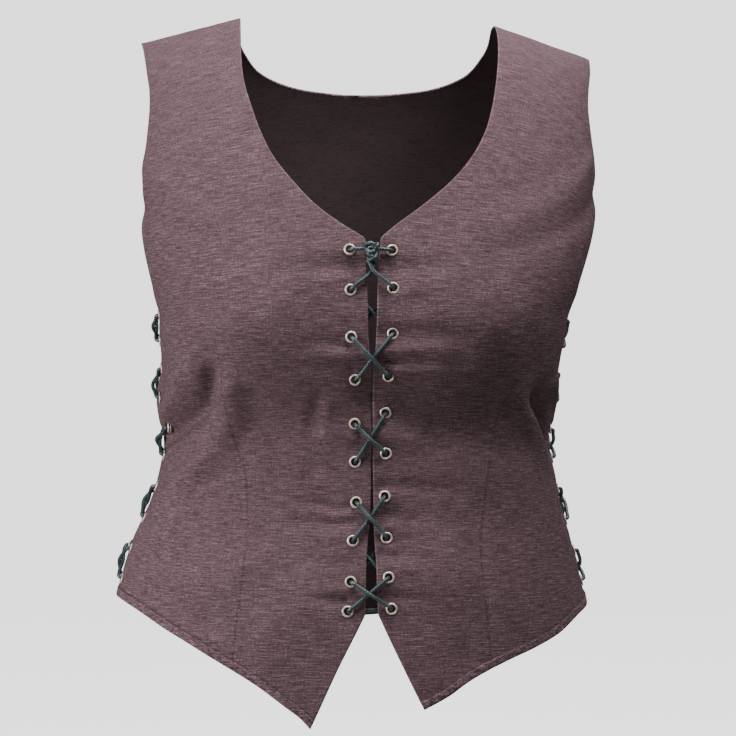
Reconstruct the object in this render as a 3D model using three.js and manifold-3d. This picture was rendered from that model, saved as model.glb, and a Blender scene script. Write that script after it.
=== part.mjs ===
// Medieval vest: two laced fronts and a laced back, as a worn, hollow garment.
// Millimetres. +Z is up, the front faces -Y, +X is the wearer's left.
// The origin lies midway between the shoulders, at the height of the shoulder seams.

import * as THREE from 'three';
import { mergeGeometries, mergeVertices } from 'three/addons/utils/BufferGeometryUtils.js';
import Module from 'manifold-3d';

const wasm = await Module();
wasm.setup();

// Driving dimensions

const WALL = 2.0;
const SEAM_GAP = 0.3;
const BUST_HEIGHT = -262;
const FRONT_ARCH = 1.75;
const BACK_ARCH = 2.3;
const MIDDLE_TURN_RADIUS = 165;

const EYELET_HOLE = 3.0;
const EYELET_BARREL = 3.4;
const EYELET_FLANGE = 5.75;
const EYELET_WASHER = 5.2;
const EYELET_SEAT = 1.35;
const EYELET_RIM = 2.0;
const EYELET_SIDES = 8;
const CLOTH_HOLE = 4.3;
const CLOTH_HOLE_SIDES = 6;
const JOINED_EYELET_SIDES = 6;
const SEAT_REACH = 4.6;
const SEAT_CUT = 1.22;
const SEAT_RADIUS = 6.1;
const SIDE_EYELET_INSET = 13;

const LACE_RADIUS = 1.7;
const LACE_SIDES = 6;
const LACE_BEND_HEIGHT = 4.3;
const LACE_BEND_REACH = 2.0;
const LACE_HOLE_HEIGHT = 1.8;
const LACE_HOLE_REACH = 0.35;
const LACE_UNDER_HEIGHT = 3.8;
const LACE_OVER_HEIGHT = 7.6;

const KNOT_HALF = { across: 6.0, out: 5.0, up: 8.0 };
const KNOT_OUT = 7.4;
const KNOT_CROSS_RISE = 15.5;

// Level sections of the form the cloth hangs in.
// centre is the middle across, half the half width, front and back the depths,
// square is how square the section is (2 is an ellipse).

const SECTIONS = [
  { height: -620, centre: -9.0, half: 236, front: 160, back: 160, square: 2.3 },
  { height: -500, centre: -8.0, half: 208, front: 152, back: 132, square: 2.3 },
  { height: -481, centre: -8.0, half: 203, front: 150, back: 126, square: 2.3 },
  { height: -449, centre: -7.0, half: 194, front: 145, back: 114, square: 2.3 },
  { height: -410, centre: -3.6, half: 180, front: 138, back: 100, square: 2.35 },
  { height: -385, centre: -2.4, half: 174, front: 136, back: 95, square: 2.35 },
  { height: -364, centre: -2.2, half: 170, front: 136, back: 93, square: 2.4 },
  { height: -325, centre: -1.4, half: 171, front: 142, back: 100, square: 2.5 },
  { height: -290, centre: 0.2, half: 175, front: 149, back: 108, square: 2.65 },
  { height: -268, centre: 1.0, half: 178, front: 150, back: 111, square: 2.7 },
  { height: -246, centre: 2.4, half: 180, front: 150, back: 112, square: 2.7 },
  { height: -225, centre: 3.0, half: 187, front: 150, back: 112, square: 2.65 },
  { height: -205, centre: 3.4, half: 194, front: 150, back: 112, square: 2.6 },
  { height: -184, centre: 4.0, half: 200, front: 150, back: 112, square: 2.6 },
  { height: -150, centre: 4.6, half: 205, front: 150, back: 112, square: 2.6 },
  { height: -58, centre: 4.5, half: 207, front: 150, back: 112, square: 2.6 },
  { height: 0, centre: 4.5, half: 207, front: 150, back: 112, square: 2.6 },
];

// Shoulder ridges, as heights at two fractions of the half width.

const RIDGES = {
  right: { inner: 0.53, innerHeight: 14.4, outer: 0.958, outerHeight: -9.0 },
  left: { inner: 0.54, innerHeight: 11.0, outer: 0.955, outerHeight: -18.6 },
};

// Largest folds and fullness. Each runs from one place to another;
// turn is in degrees from the front middle, rise is out (+) or in (-).

const FOLDS = [
  { name: 'bust right', turn: -38, height: -262, toTurn: -38, toHeight: -262, rise: 6, width: 55 },
  { name: 'bust left', turn: 38, height: -262, toTurn: 38, toHeight: -262, rise: 6, width: 55 },
  { name: 'chest right', turn: -44, height: -222, toTurn: -24, toHeight: -222, rise: 5, width: 58 },
  { name: 'chest left', turn: 24, height: -220, toTurn: 46, toHeight: -218, rise: 8, width: 58 },
  { name: 'waist trough right', turn: -46, height: -300, toTurn: -51, toHeight: -330, rise: -7, width: 11 },
  { name: 'side trough right', turn: -58, height: -336, toTurn: -77, toHeight: -348, rise: -7, width: 11 },
  { name: 'side bulge right', turn: -88, height: -326, toTurn: -90, toHeight: -336, rise: 7.5, width: 25 },
  { name: 'waist ridge right', turn: -40, height: -314, toTurn: -50, toHeight: -380, rise: 3.5, width: 12 },
  { name: 'waist trough left', turn: 52, height: -314, toTurn: 60, toHeight: -328, rise: -6.5, width: 12 },
  { name: 'hip trough left', turn: 66, height: -340, toTurn: 77, toHeight: -364, rise: -6.5, width: 12 },
  { name: 'waist ridge left', turn: 45, height: -318, toTurn: 60, toHeight: -358, rise: 2.4, width: 14 },
  { name: 'under bust right', turn: -12, height: -338, toTurn: -30, toHeight: -342, rise: -2.5, width: 20 },
  { name: 'under bust left', turn: 12, height: -332, toTurn: 32, toHeight: -336, rise: -3, width: 20 },
  { name: 'back trough left', turn: 120, height: -352, toTurn: 140, toHeight: -310, rise: -5, width: 16 },
  { name: 'back trough right', turn: 238, height: -340, toTurn: 222, toHeight: -298, rise: -6, width: 15 },
  { name: 'back hollow', turn: 165, height: -362, toTurn: 192, toHeight: -358, rise: -4, width: 26 },
];

// Outlines of the fronts as seen from the front: across and height.

const FRONTS = {
  front_right: {
    side: 'right',
    sign: -1,
    slit: [
      { across: -51.5, height: -597 },
      { across: -27.5, height: -546 },
      { across: -5.1, height: -502 },
    ],
    edge: [
      { across: -5.1, height: -502 },
      { across: -4.6, height: -482 },
      { across: -3.8, height: -457 },
      { across: -1.5, height: -432 },
      { across: 0.7, height: -390 },
      { across: 0.7, height: -340 },
      { across: -0.5, height: -293 },
      { across: -2.4, height: -272 },
      { across: -3.4, height: -231 },
      { across: -4.2, height: -197 },
      { across: -5.0, height: -187 },
    ],
    neckline: [
      { across: -5.0, height: -187 },
      { across: -19, height: -178.5 },
      { across: -46.5, height: -158 },
      { across: -65.5, height: -137 },
      { across: -81, height: -116 },
      { across: -91, height: -95 },
      { across: -98, height: -74 },
      { across: -104, height: -52 },
      { across: -106.5, height: -29 },
      { across: -106.5, height: -10 },
      { across: -106, height: 20 },
    ],
    hem: [
      { across: -51.5, height: -597 },
      { across: -60, height: -588 },
      { across: -72, height: -579 },
      { across: -98, height: -560 },
      { across: -130, height: -541 },
      { across: -164, height: -522 },
      { across: -193, height: -505 },
      { across: -208, height: -498 },
      { turn: -87, height: -496 },
    ],
    laced: [
      { turn: -87, height: -496 },
      { turn: -87, height: -455 },
      { turn: -86.5, height: -364 },
      { turn: -87, height: -290 },
      { turn: -87, height: -236 },
    ],
    armhole: [
      { turn: -87, height: -236 },
      { turn: -79, height: -229 },
      { across: -185, height: -212 },
      { across: -189, height: -195 },
      { across: -192, height: -174 },
      { across: -191.5, height: -154 },
      { across: -190.5, height: -122 },
      { across: -187.5, height: -91 },
      { across: -186, height: -63 },
      { across: -187, height: -48 },
      { across: -190.5, height: -25 },
      { across: -194, height: 20 },
    ],
    eyelets: [
      { across: -18, height: -197.5 },
      { across: -17.5, height: -231 },
      { across: -17, height: -270 },
      { across: -13.5, height: -306 },
      { across: -13.2, height: -343 },
      { across: -12.8, height: -375 },
      { across: -12, height: -409 },
      { across: -15.2, height: -441 },
      { across: -17.4, height: -475 },
      { across: -20, height: -499.5 },
    ],
    sideEyelets: [-249, -272, -296, -322, -348, -373, -400, -428, -455, -481],
  },
  front_left: {
    side: 'left',
    sign: 1,
    slit: [
      { across: 43.8, height: -582 },
      { across: 26, height: -546 },
      { across: 5.4, height: -502 },
    ],
    edge: [
      { across: 5.4, height: -502 },
      { across: 4.6, height: -482 },
      { across: 4.1, height: -457 },
      { across: 2.6, height: -432 },
      { across: 2.3, height: -390 },
      { across: 2.1, height: -340 },
      { across: 2.4, height: -293 },
      { across: 3.8, height: -272 },
      { across: 4.9, height: -231 },
      { across: 7.0, height: -197 },
      { across: 8.2, height: -187 },
    ],
    neckline: [
      { across: 8.2, height: -187 },
      { across: 18, height: -178.5 },
      { across: 45.5, height: -158 },
      { across: 70, height: -137 },
      { across: 88, height: -116 },
      { across: 100.5, height: -94 },
      { across: 108, height: -72 },
      { across: 113, height: -50 },
      { across: 117, height: -27 },
      { across: 119.5, height: -7 },
      { across: 120, height: 20 },
    ],
    hem: [
      { across: 43.8, height: -582 },
      { across: 66, height: -570.5 },
      { across: 80, height: -561 },
      { across: 117, height: -543 },
      { across: 141, height: -534 },
      { across: 162, height: -525 },
      { across: 184, height: -511 },
      { across: 197, height: -505 },
      { turn: 87, height: -500 },
    ],
    laced: [
      { turn: 87, height: -500 },
      { turn: 87, height: -457 },
      { turn: 86.5, height: -364 },
      { turn: 87, height: -290 },
      { turn: 87, height: -240 },
    ],
    armhole: [
      { turn: 87, height: -240 },
      { turn: 79, height: -233 },
      { across: 183, height: -218 },
      { across: 189, height: -204 },
      { across: 197, height: -184 },
      { across: 203, height: -162 },
      { across: 204.5, height: -130 },
      { across: 202, height: -98 },
      { across: 200, height: -66 },
      { across: 202, height: -49 },
      { across: 205, height: -33 },
      { across: 206.5, height: 20 },
    ],
    eyelets: [
      { across: 17.5, height: -198 },
      { across: 18.1, height: -229.5 },
      { across: 18, height: -267 },
      { across: 14.7, height: -303 },
      { across: 13, height: -334.5 },
      { across: 13.2, height: -368 },
      { across: 12.2, height: -404 },
      { across: 13.4, height: -438.5 },
      { across: 14.6, height: -471.5 },
      { across: 17, height: -497.5 },
    ],
    sideEyelets: [-253, -277, -300, -325, -350, -376, -403, -431, -458, -485],
  },
};

// Outlines of the back's two halves, which meet at the centre line as one cloth.

const BACK_HALVES = {
  left: {
    direction: 1,
    centre: [
      { turn: 180, height: -531 },
      { turn: 180, height: -380 },
      { turn: 180, height: -240 },
      { across: 7, height: -44, behind: true },
    ],
    neckline: [
      { across: 7, height: -44, behind: true },
      { across: 66, height: -40, behind: true },
      { across: 99, height: -29, behind: true },
      { across: 115, height: -12, behind: true },
      { across: 120, height: 20, behind: true },
    ],
    hem: [
      { turn: 180, height: -531 },
      { turn: 135, height: -519 },
      { turn: 95, height: -500 },
    ],
    laced: [
      { turn: 95, height: -500 },
      { turn: 95, height: -457 },
      { turn: 96, height: -364 },
      { turn: 95, height: -290 },
      { turn: 95, height: -240 },
    ],
    armhole: [
      { turn: 95, height: -240 },
      { turn: 103, height: -232 },
      { across: 184, height: -208, behind: true },
      { across: 192, height: -170, behind: true },
      { across: 193, height: -120, behind: true },
      { across: 193, height: -70, behind: true },
      { across: 201, height: -40, behind: true },
      { across: 206.5, height: 20, behind: true },
    ],
  },
  right: {
    direction: -1,
    centre: [
      { turn: 180, height: -531 },
      { turn: 180, height: -380 },
      { turn: 180, height: -240 },
      { across: 7, height: -44, behind: true },
    ],
    neckline: [
      { across: 7, height: -44, behind: true },
      { across: -52, height: -39, behind: true },
      { across: -85, height: -27, behind: true },
      { across: -101, height: -10, behind: true },
      { across: -106, height: 20, behind: true },
    ],
    hem: [
      { turn: 180, height: -531 },
      { turn: 225, height: -518 },
      { turn: 265, height: -496 },
    ],
    laced: [
      { turn: 265, height: -496 },
      { turn: 265, height: -455 },
      { turn: 264, height: -364 },
      { turn: 265, height: -290 },
      { turn: 265, height: -236 },
    ],
    armhole: [
      { turn: 265, height: -236 },
      { turn: 257, height: -228 },
      { across: -178, height: -204, behind: true },
      { across: -184, height: -166, behind: true },
      { across: -184, height: -116, behind: true },
      { across: -184, height: -66, behind: true },
      { across: -189, height: -34, behind: true },
      { across: -194, height: 20, behind: true },
    ],
  },
};

// Shares of a panel's length at the front slit's top, the underarm and the foot of
// the neckline, and the rows of points between them; then the same across, with the
// first and last strips wide enough to seat an eyelet.

const SLIT_TOP = 0.2;
const FRONT_UNDERARM = 0.53;
const FRONT_NECK_FOOT = 0.62;
const BACK_UNDERARM = 0.5;
const BACK_NECK_FOOT = 0.8;

const FRONT_ROWS = [
  { share: 0.0, rows: 5 },
  { share: SLIT_TOP, rows: 13 },
  { share: FRONT_UNDERARM, rows: 3 },
  { share: FRONT_NECK_FOOT, rows: 11 },
  { share: 1.0, rows: 0 },
];
const FRONT_COLUMNS = [
  { share: 0.0, rows: 1 },
  { share: 0.13, rows: 9 },
  { share: 0.87, rows: 1 },
  { share: 1.0, rows: 0 },
];
const BACK_ROWS = [
  { share: 0.0, rows: 11 },
  { share: BACK_UNDERARM, rows: 7 },
  { share: BACK_NECK_FOOT, rows: 4 },
  { share: 1.0, rows: 0 },
];
const BACK_COLUMNS = [
  { share: 0.0, rows: 9 },
  { share: 0.9, rows: 1 },
  { share: 1.0, rows: 0 },
];

const RIGHT_ANGLE = Math.PI / 2;
const radians = THREE.MathUtils.degToRad;

// Value of one named column, followed smoothly along another column of the rows.
function follow(rows, alongName, name, at) {
  const last = rows.length - 1;
  const place = THREE.MathUtils.clamp(at, rows[0][alongName], rows[last][alongName]);
  let index = 0;
  while (index < last - 1 && rows[index + 1][alongName] <= place) {
    index += 1;
  }
  const slope = (first) => {
    const span = rows[first + 1][alongName] - rows[first][alongName];
    return (rows[first + 1][name] - rows[first][name]) / span;
  };
  const tangent = (row) => {
    if (row === 0) {
      return slope(0);
    }
    if (row === last) {
      return slope(last - 1);
    }
    const before = rows[row][alongName] - rows[row - 1][alongName];
    const after = rows[row + 1][alongName] - rows[row][alongName];
    return (slope(row - 1) * after + slope(row) * before) / (before + after);
  };
  const span = rows[index + 1][alongName] - rows[index][alongName];
  const t = (place - rows[index][alongName]) / span;
  const t2 = t * t;
  const t3 = t2 * t;
  const start = (2 * t3 - 3 * t2 + 1) * rows[index][name] + (t3 - 2 * t2 + t) * span * tangent(index);
  const end = (3 * t2 - 2 * t3) * rows[index + 1][name] + (t3 - t2) * span * tangent(index + 1);
  return start + end;
}

function section(name, height) {
  return follow(SECTIONS, 'height', name, height);
}

// Place on a unit superellipse at an angle: sideways and forward parts.
function unitPlace(angle, power) {
  const sine = Math.sin(angle);
  const cosine = Math.cos(angle);
  const scale = (Math.abs(sine) ** power + Math.abs(cosine) ** power) ** (-1 / power);
  return { sideways: sine * scale, forward: cosine * scale };
}

// Height of the shoulder ridge at a signed fraction of the half width.
function ridgeHeight(fraction) {
  const reach = Math.hypot(fraction, 0.05);
  const onRidge = (ridge) => {
    const slope = (ridge.outerHeight - ridge.innerHeight) / (ridge.outer - ridge.inner);
    return ridge.innerHeight + (reach - ridge.inner) * slope;
  };
  const blend = THREE.MathUtils.smoothstep(fraction, -0.4, 0.4);
  return onRidge(RIDGES.right) * (1 - blend) + onRidge(RIDGES.left) * blend;
}

// Bare form at an angle round the body and a level: below the bust a level is a
// height, above it an angle up the arch that closes at the shoulder ridge.
function formPlace(angle, level) {
  const arch = unitPlace(THREE.MathUtils.clamp(level, 0, RIGHT_ANGLE), FRONT_ARCH);
  const rise = THREE.MathUtils.clamp(arch.sideways, 0, 1);
  const below = level < 0;
  const tableHeight = below ? BUST_HEIGHT * (1 - level) : BUST_HEIGHT * (1 - rise);
  const ring = unitPlace(angle, section('square', tableHeight));
  const across = section('centre', tableHeight) + section('half', tableHeight) * ring.sideways;
  const ridge = ridgeHeight(ring.sideways);
  const height = below ? tableHeight : BUST_HEIGHT + (ridge - BUST_HEIGHT) * rise;
  const frontArch = below ? 1 : arch.forward;
  const backArch = below ? 1 : (1 - rise ** BACK_ARCH) ** (1 / BACK_ARCH);
  const front = section('front', tableHeight) * frontArch;
  const back = section('back', tableHeight) * backArch;
  const depth = ring.forward >= 0 ? front : back;
  return new THREE.Vector3(across, -depth * ring.forward, height);
}

// How far the folds move the cloth out at an angle and height.
function foldRise(angle, height) {
  let total = 0;
  for (const fold of FOLDS) {
    const start = { s: radians(fold.turn) * MIDDLE_TURN_RADIUS, h: fold.height };
    const end = { s: radians(fold.toTurn) * MIDDLE_TURN_RADIUS, h: fold.toHeight };
    const length = Math.hypot(end.s - start.s, end.h - start.h);
    for (const whole of [-1, 0, 1]) {
      const s = (angle + whole * 2 * Math.PI) * MIDDLE_TURN_RADIUS;
      const along = ((s - start.s) * (end.s - start.s) + (height - start.h) * (end.h - start.h));
      const part = length > 0 ? THREE.MathUtils.clamp(along / (length * length), 0, 1) : 0;
      const awayS = s - start.s - part * (end.s - start.s);
      const awayH = height - start.h - part * (end.h - start.h);
      const away = Math.hypot(awayS, awayH) / fold.width;
      total += fold.rise * Math.exp(-away * away);
    }
  }
  return total;
}

// Point in the middle of the cloth with its outward direction.
function clothPlace(angle, level) {
  const top = Math.min(level, RIGHT_ANGLE);
  const point = formPlace(angle, top);
  const stepAngle = 0.004;
  const stepLevel = 0.004;
  const upper = Math.min(top + stepLevel, RIGHT_ANGLE);
  const round = formPlace(angle + stepAngle, top).sub(formPlace(angle - stepAngle, top));
  const up = formPlace(angle, upper).sub(formPlace(angle, upper - 2 * stepLevel));
  const out = new THREE.Vector3().crossVectors(round, up).normalize();
  if (top > RIGHT_ANGLE - 1e-6) {
    out.set(-round.z, 0, round.x).normalize();
    if (out.z < 0) {
      out.negate();
    }
  }
  point.addScaledVector(out, foldRise(angle, point.z));
  return { point, out };
}

// Level of a height at an angle round the body.
function levelOf(angle, height) {
  if (height <= BUST_HEIGHT) {
    return 1 - height / BUST_HEIGHT;
  }
  let rise = 0;
  let tableHeight = height;
  for (let turn = 0; turn < 24; turn += 1) {
    const ring = unitPlace(angle, section('square', tableHeight));
    const ridge = ridgeHeight(ring.sideways);
    rise = THREE.MathUtils.clamp((height - BUST_HEIGHT) / (ridge - BUST_HEIGHT), 0, 1);
    tableHeight = BUST_HEIGHT * (1 - rise);
  }
  return Math.atan2(rise, (1 - rise ** FRONT_ARCH) ** (1 / FRONT_ARCH));
}

// Angle and level of a table row given by turn, or by across in front or behind.
function placeRow(row) {
  if (row.turn !== undefined) {
    const angle = radians(row.turn);
    return { angle, level: levelOf(angle, row.height) };
  }
  let angle = 0;
  let level = 0;
  let tableHeight = Math.min(row.height, 0);
  for (let turn = 0; turn < 24; turn += 1) {
    const power = section('square', tableHeight);
    const reach = (row.across - section('centre', tableHeight)) / section('half', tableHeight);
    const sideways = THREE.MathUtils.clamp(reach, -0.999, 0.999);
    const forward = (1 - Math.abs(sideways) ** power) ** (1 / power);
    angle = Math.atan2(sideways, row.behind ? -forward : forward);
    level = levelOf(angle, row.height);
    const rise = unitPlace(Math.max(level, 0), FRONT_ARCH).sideways;
    tableHeight = level < 0 ? row.height : BUST_HEIGHT * (1 - rise);
  }
  if (row.behind && angle < 0) {
    angle += 2 * Math.PI;
  }
  return { angle, level };
}

// A smooth run through table rows between two shares, by the length along it.
function makeRun(rows, from, to) {
  const placed = rows.map(placeRow);
  const lengths = [0];
  for (let index = 1; index < placed.length; index += 1) {
    const stepAngle = (placed[index].angle - placed[index - 1].angle) * MIDDLE_TURN_RADIUS;
    const stepLevel = (placed[index].level - placed[index - 1].level) * -BUST_HEIGHT;
    lengths.push(lengths[index - 1] + Math.hypot(stepAngle, stepLevel));
  }
  const whole = lengths[lengths.length - 1];
  placed.forEach((row, index) => {
    row.share = from + (to - from) * lengths[index] / whole;
  });
  return { from, to, rows: placed };
}

// Angle and level on a chain of runs at one share.
function onRuns(runs, share) {
  const run = runs.find((each) => share <= each.to + 1e-9) || runs[runs.length - 1];
  return {
    angle: follow(run.rows, 'share', 'angle', share),
    level: follow(run.rows, 'share', 'level', share),
  };
}

// Shares of the rows or columns of points from a table of breaks.
function sharesOf(breaks) {
  const shares = [];
  for (let index = 0; index < breaks.length - 1; index += 1) {
    const from = breaks[index].share;
    const to = breaks[index + 1].share;
    for (let row = 0; row < breaks[index].rows; row += 1) {
      shares.push(from + (to - from) * row / breaks[index].rows);
    }
  }
  shares.push(breaks[breaks.length - 1].share);
  return shares;
}

// Four-sided patch of angle and level from its four edges.
function patchPlace(edges, column, row) {
  const inner = onRuns(edges.inner, row);
  const outer = onRuns(edges.outer, row);
  const bottom = onRuns(edges.bottom, column);
  const top = onRuns(edges.top, column);
  const corners = [
    { at: onRuns(edges.inner, 0), share: (1 - column) * (1 - row) },
    { at: onRuns(edges.outer, 0), share: column * (1 - row) },
    { at: onRuns(edges.inner, 1), share: (1 - column) * row },
    { at: onRuns(edges.outer, 1), share: column * row },
  ];
  const value = (name) => {
    const across = inner[name] * (1 - column) + outer[name] * column;
    const along = bottom[name] * (1 - row) + top[name] * row;
    const taken = corners.reduce((sum, corner) => sum + corner.at[name] * corner.share, 0);
    return across + along - taken;
  };
  return { angle: value('angle'), level: Math.min(value('level'), RIGHT_ANGLE) };
}

// Positive volume means the triangles face out.
function faceOut(geometry) {
  const position = geometry.getAttribute('position');
  const index = geometry.getIndex();
  const a = new THREE.Vector3();
  const b = new THREE.Vector3();
  const c = new THREE.Vector3();
  let volume = 0;
  for (let corner = 0; corner < index.count; corner += 3) {
    a.fromBufferAttribute(position, index.getX(corner));
    b.fromBufferAttribute(position, index.getX(corner + 1));
    c.fromBufferAttribute(position, index.getX(corner + 2));
    volume += a.dot(b.cross(c));
  }
  if (volume < 0) {
    for (let corner = 0; corner < index.count; corner += 3) {
      const keep = index.getX(corner + 1);
      index.setX(corner + 1, index.getX(corner + 2));
      index.setX(corner + 2, keep);
    }
  }
  return geometry;
}

// Cloth panel of even thickness over a patch. seamSide moves the shoulder row off the
// seam; below the share openBelow the inner edge is left open, to be joined to another.
function panelGeometry(edges, columns, rows, seamSide, openBelow = 0) {
  const wide = columns.length;
  const high = rows.length;
  const count = wide * high;
  const positions = new Float32Array(count * 2 * 3);
  rows.forEach((row, j) => {
    columns.forEach((column, i) => {
      const place = patchPlace(edges, column, row);
      const { point, out } = clothPlace(place.angle, place.level);
      if (place.level > RIGHT_ANGLE - 1e-6) {
        point.y += seamSide * SEAM_GAP / 2;
      }
      const outer = point.clone().addScaledVector(out, WALL / 2);
      const inner = point.clone().addScaledVector(out, -WALL / 2);
      outer.toArray(positions, (j * wide + i) * 3);
      inner.toArray(positions, (count + j * wide + i) * 3);
    });
  });
  const triangles = [];
  const quad = (a, b, c, d) => triangles.push(a, b, c, a, c, d);
  for (let j = 0; j < high - 1; j += 1) {
    for (let i = 0; i < wide - 1; i += 1) {
      const at = j * wide + i;
      quad(at, at + 1, at + wide + 1, at + wide);
      quad(count + at + wide, count + at + wide + 1, count + at + 1, count + at);
    }
  }
  for (let i = 0; i < wide - 1; i += 1) {
    const top = (high - 1) * wide + i;
    quad(i, count + i, count + i + 1, i + 1);
    quad(top + 1, count + top + 1, count + top, top);
  }
  for (let j = 0; j < high - 1; j += 1) {
    const near = j * wide;
    const far = near + wide - 1;
    if (rows[j] >= openBelow - 1e-9) {
      quad(near + wide, count + near + wide, count + near, near);
    }
    quad(far, count + far, count + far + wide, far + wide);
  }
  const geometry = new THREE.BufferGeometry();
  geometry.setAttribute('position', new THREE.BufferAttribute(positions, 3));
  geometry.setIndex(triangles);
  return geometry;
}

// Geometry to a closed solid and back, for cuts and joins.
function toSolid(geometry) {
  const bare = geometry.clone();
  bare.deleteAttribute('normal');
  bare.deleteAttribute('uv');
  const merged = mergeVertices(bare, 1e-4);
  return new wasm.Manifold(new wasm.Mesh({
    numProp: 3,
    vertProperties: new Float32Array(merged.getAttribute('position').array),
    triVerts: new Uint32Array(merged.getIndex().array),
  }));
}

function fromSolid(solid) {
  const mesh = solid.getMesh();
  const positions = new Float32Array(mesh.numVert * 3);
  for (let vertex = 0; vertex < mesh.numVert; vertex += 1) {
    for (let axis = 0; axis < 3; axis += 1) {
      positions[vertex * 3 + axis] = mesh.vertProperties[vertex * mesh.numProp + axis];
    }
  }
  const geometry = new THREE.BufferGeometry();
  geometry.setAttribute('position', new THREE.BufferAttribute(positions, 3));
  geometry.setIndex(new THREE.BufferAttribute(new Uint32Array(mesh.triVerts), 1));
  return geometry;
}

// Moves a geometry made along +Y so that it stands on a spot, +Y out of the cloth.
function standOn(geometry, spot) {
  const turn = new THREE.Quaternion().setFromUnitVectors(new THREE.Vector3(0, 1, 0), spot.out);
  geometry.applyQuaternion(turn);
  geometry.translate(spot.point.x, spot.point.y, spot.point.z);
  return geometry;
}

// Closed outline turned round the eyelet's own axis.
function turned(outline, sides) {
  const points = outline.map((row) => new THREE.Vector2(row.radius, row.out));
  points.push(points[0].clone());
  const geometry = new THREE.LatheGeometry(points, sides);
  geometry.deleteAttribute('normal');
  geometry.deleteAttribute('uv');
  return faceOut(mergeVertices(geometry, 1e-4));
}

function eyeletGeometry(spot) {
  return standOn(turned([
    { radius: EYELET_HOLE, out: -EYELET_RIM },
    { radius: EYELET_WASHER, out: -EYELET_SEAT },
    { radius: EYELET_BARREL, out: -EYELET_SEAT },
    { radius: EYELET_BARREL, out: EYELET_SEAT },
    { radius: EYELET_FLANGE, out: EYELET_SEAT },
    { radius: EYELET_HOLE, out: EYELET_RIM },
  ], EYELET_SIDES), spot);
}

// Plain ring for the eyelets that are joined into the back.
function joinedEyeletGeometry(spot) {
  return standOn(turned([
    { radius: EYELET_HOLE, out: -EYELET_RIM },
    { radius: EYELET_WASHER, out: -0.6 },
    { radius: EYELET_FLANGE, out: 0.6 },
    { radius: EYELET_HOLE, out: EYELET_RIM },
  ], JOINED_EYELET_SIDES), spot);
}

function holeGeometry(spot) {
  return standOn(new THREE.CylinderGeometry(CLOTH_HOLE, CLOTH_HOLE, 9, CLOTH_HOLE_SIDES), spot);
}

// Flat seats above and below the cloth, for a front eyelet's flange and washer.
function seatGeometry(spot, face) {
  const disc = new THREE.CylinderGeometry(SEAT_RADIUS, SEAT_RADIUS, 3, EYELET_SIDES);
  disc.translate(0, face * (SEAT_CUT + 1.5), 0);
  return standOn(disc, spot);
}

// Moves a spot onto the faces of a panel, by four points of the outside round it.
function seatedOn(panel, spot) {
  const mesh = new THREE.Mesh(panel, new THREE.MeshBasicMaterial());
  const round = new THREE.Vector3().crossVectors(new THREE.Vector3(0, 0, 1), spot.out).normalize();
  const along = new THREE.Vector3().crossVectors(spot.out, round);
  const inward = spot.out.clone().negate();
  const hits = [0, 1, 2, 3].map((quarter) => {
    const angle = quarter * RIGHT_ANGLE;
    const start = spot.point.clone().addScaledVector(spot.out, 12);
    start.addScaledVector(round, SEAT_REACH * Math.cos(angle));
    start.addScaledVector(along, SEAT_REACH * Math.sin(angle));
    return new THREE.Raycaster(start, inward).intersectObject(mesh)[0].point;
  });
  const level = new THREE.Vector3().subVectors(hits[0], hits[2]);
  const rise = new THREE.Vector3().subVectors(hits[1], hits[3]);
  const out = new THREE.Vector3().crossVectors(level, rise).normalize();
  const point = new THREE.Vector3();
  hits.forEach((hit) => point.addScaledVector(hit, 0.25));
  point.addScaledVector(out, -WALL / 2);
  return { ...spot, point, out };
}

// Spots of the eyelets on the cloth

function spotOf(row) {
  const { angle, level } = placeRow(row);
  return { angle, level, ...clothPlace(angle, level) };
}

// Spot at a height, a set distance along the cloth from a side edge.
function spotBeside(edgeRows, height, direction) {
  const run = [...edgeRows].sort((first, second) => first.height - second.height);
  const edge = radians(follow(run, 'height', 'turn', height));
  let angle = edge;
  let walked = 0;
  let before = clothPlace(angle, levelOf(angle, height)).point;
  while (walked < SIDE_EYELET_INSET) {
    angle += direction * 0.002;
    const point = clothPlace(angle, levelOf(angle, height)).point;
    walked += point.distanceTo(before);
    before = point;
  }
  return spotOf({ turn: THREE.MathUtils.radToDeg(angle), height });
}

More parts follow.
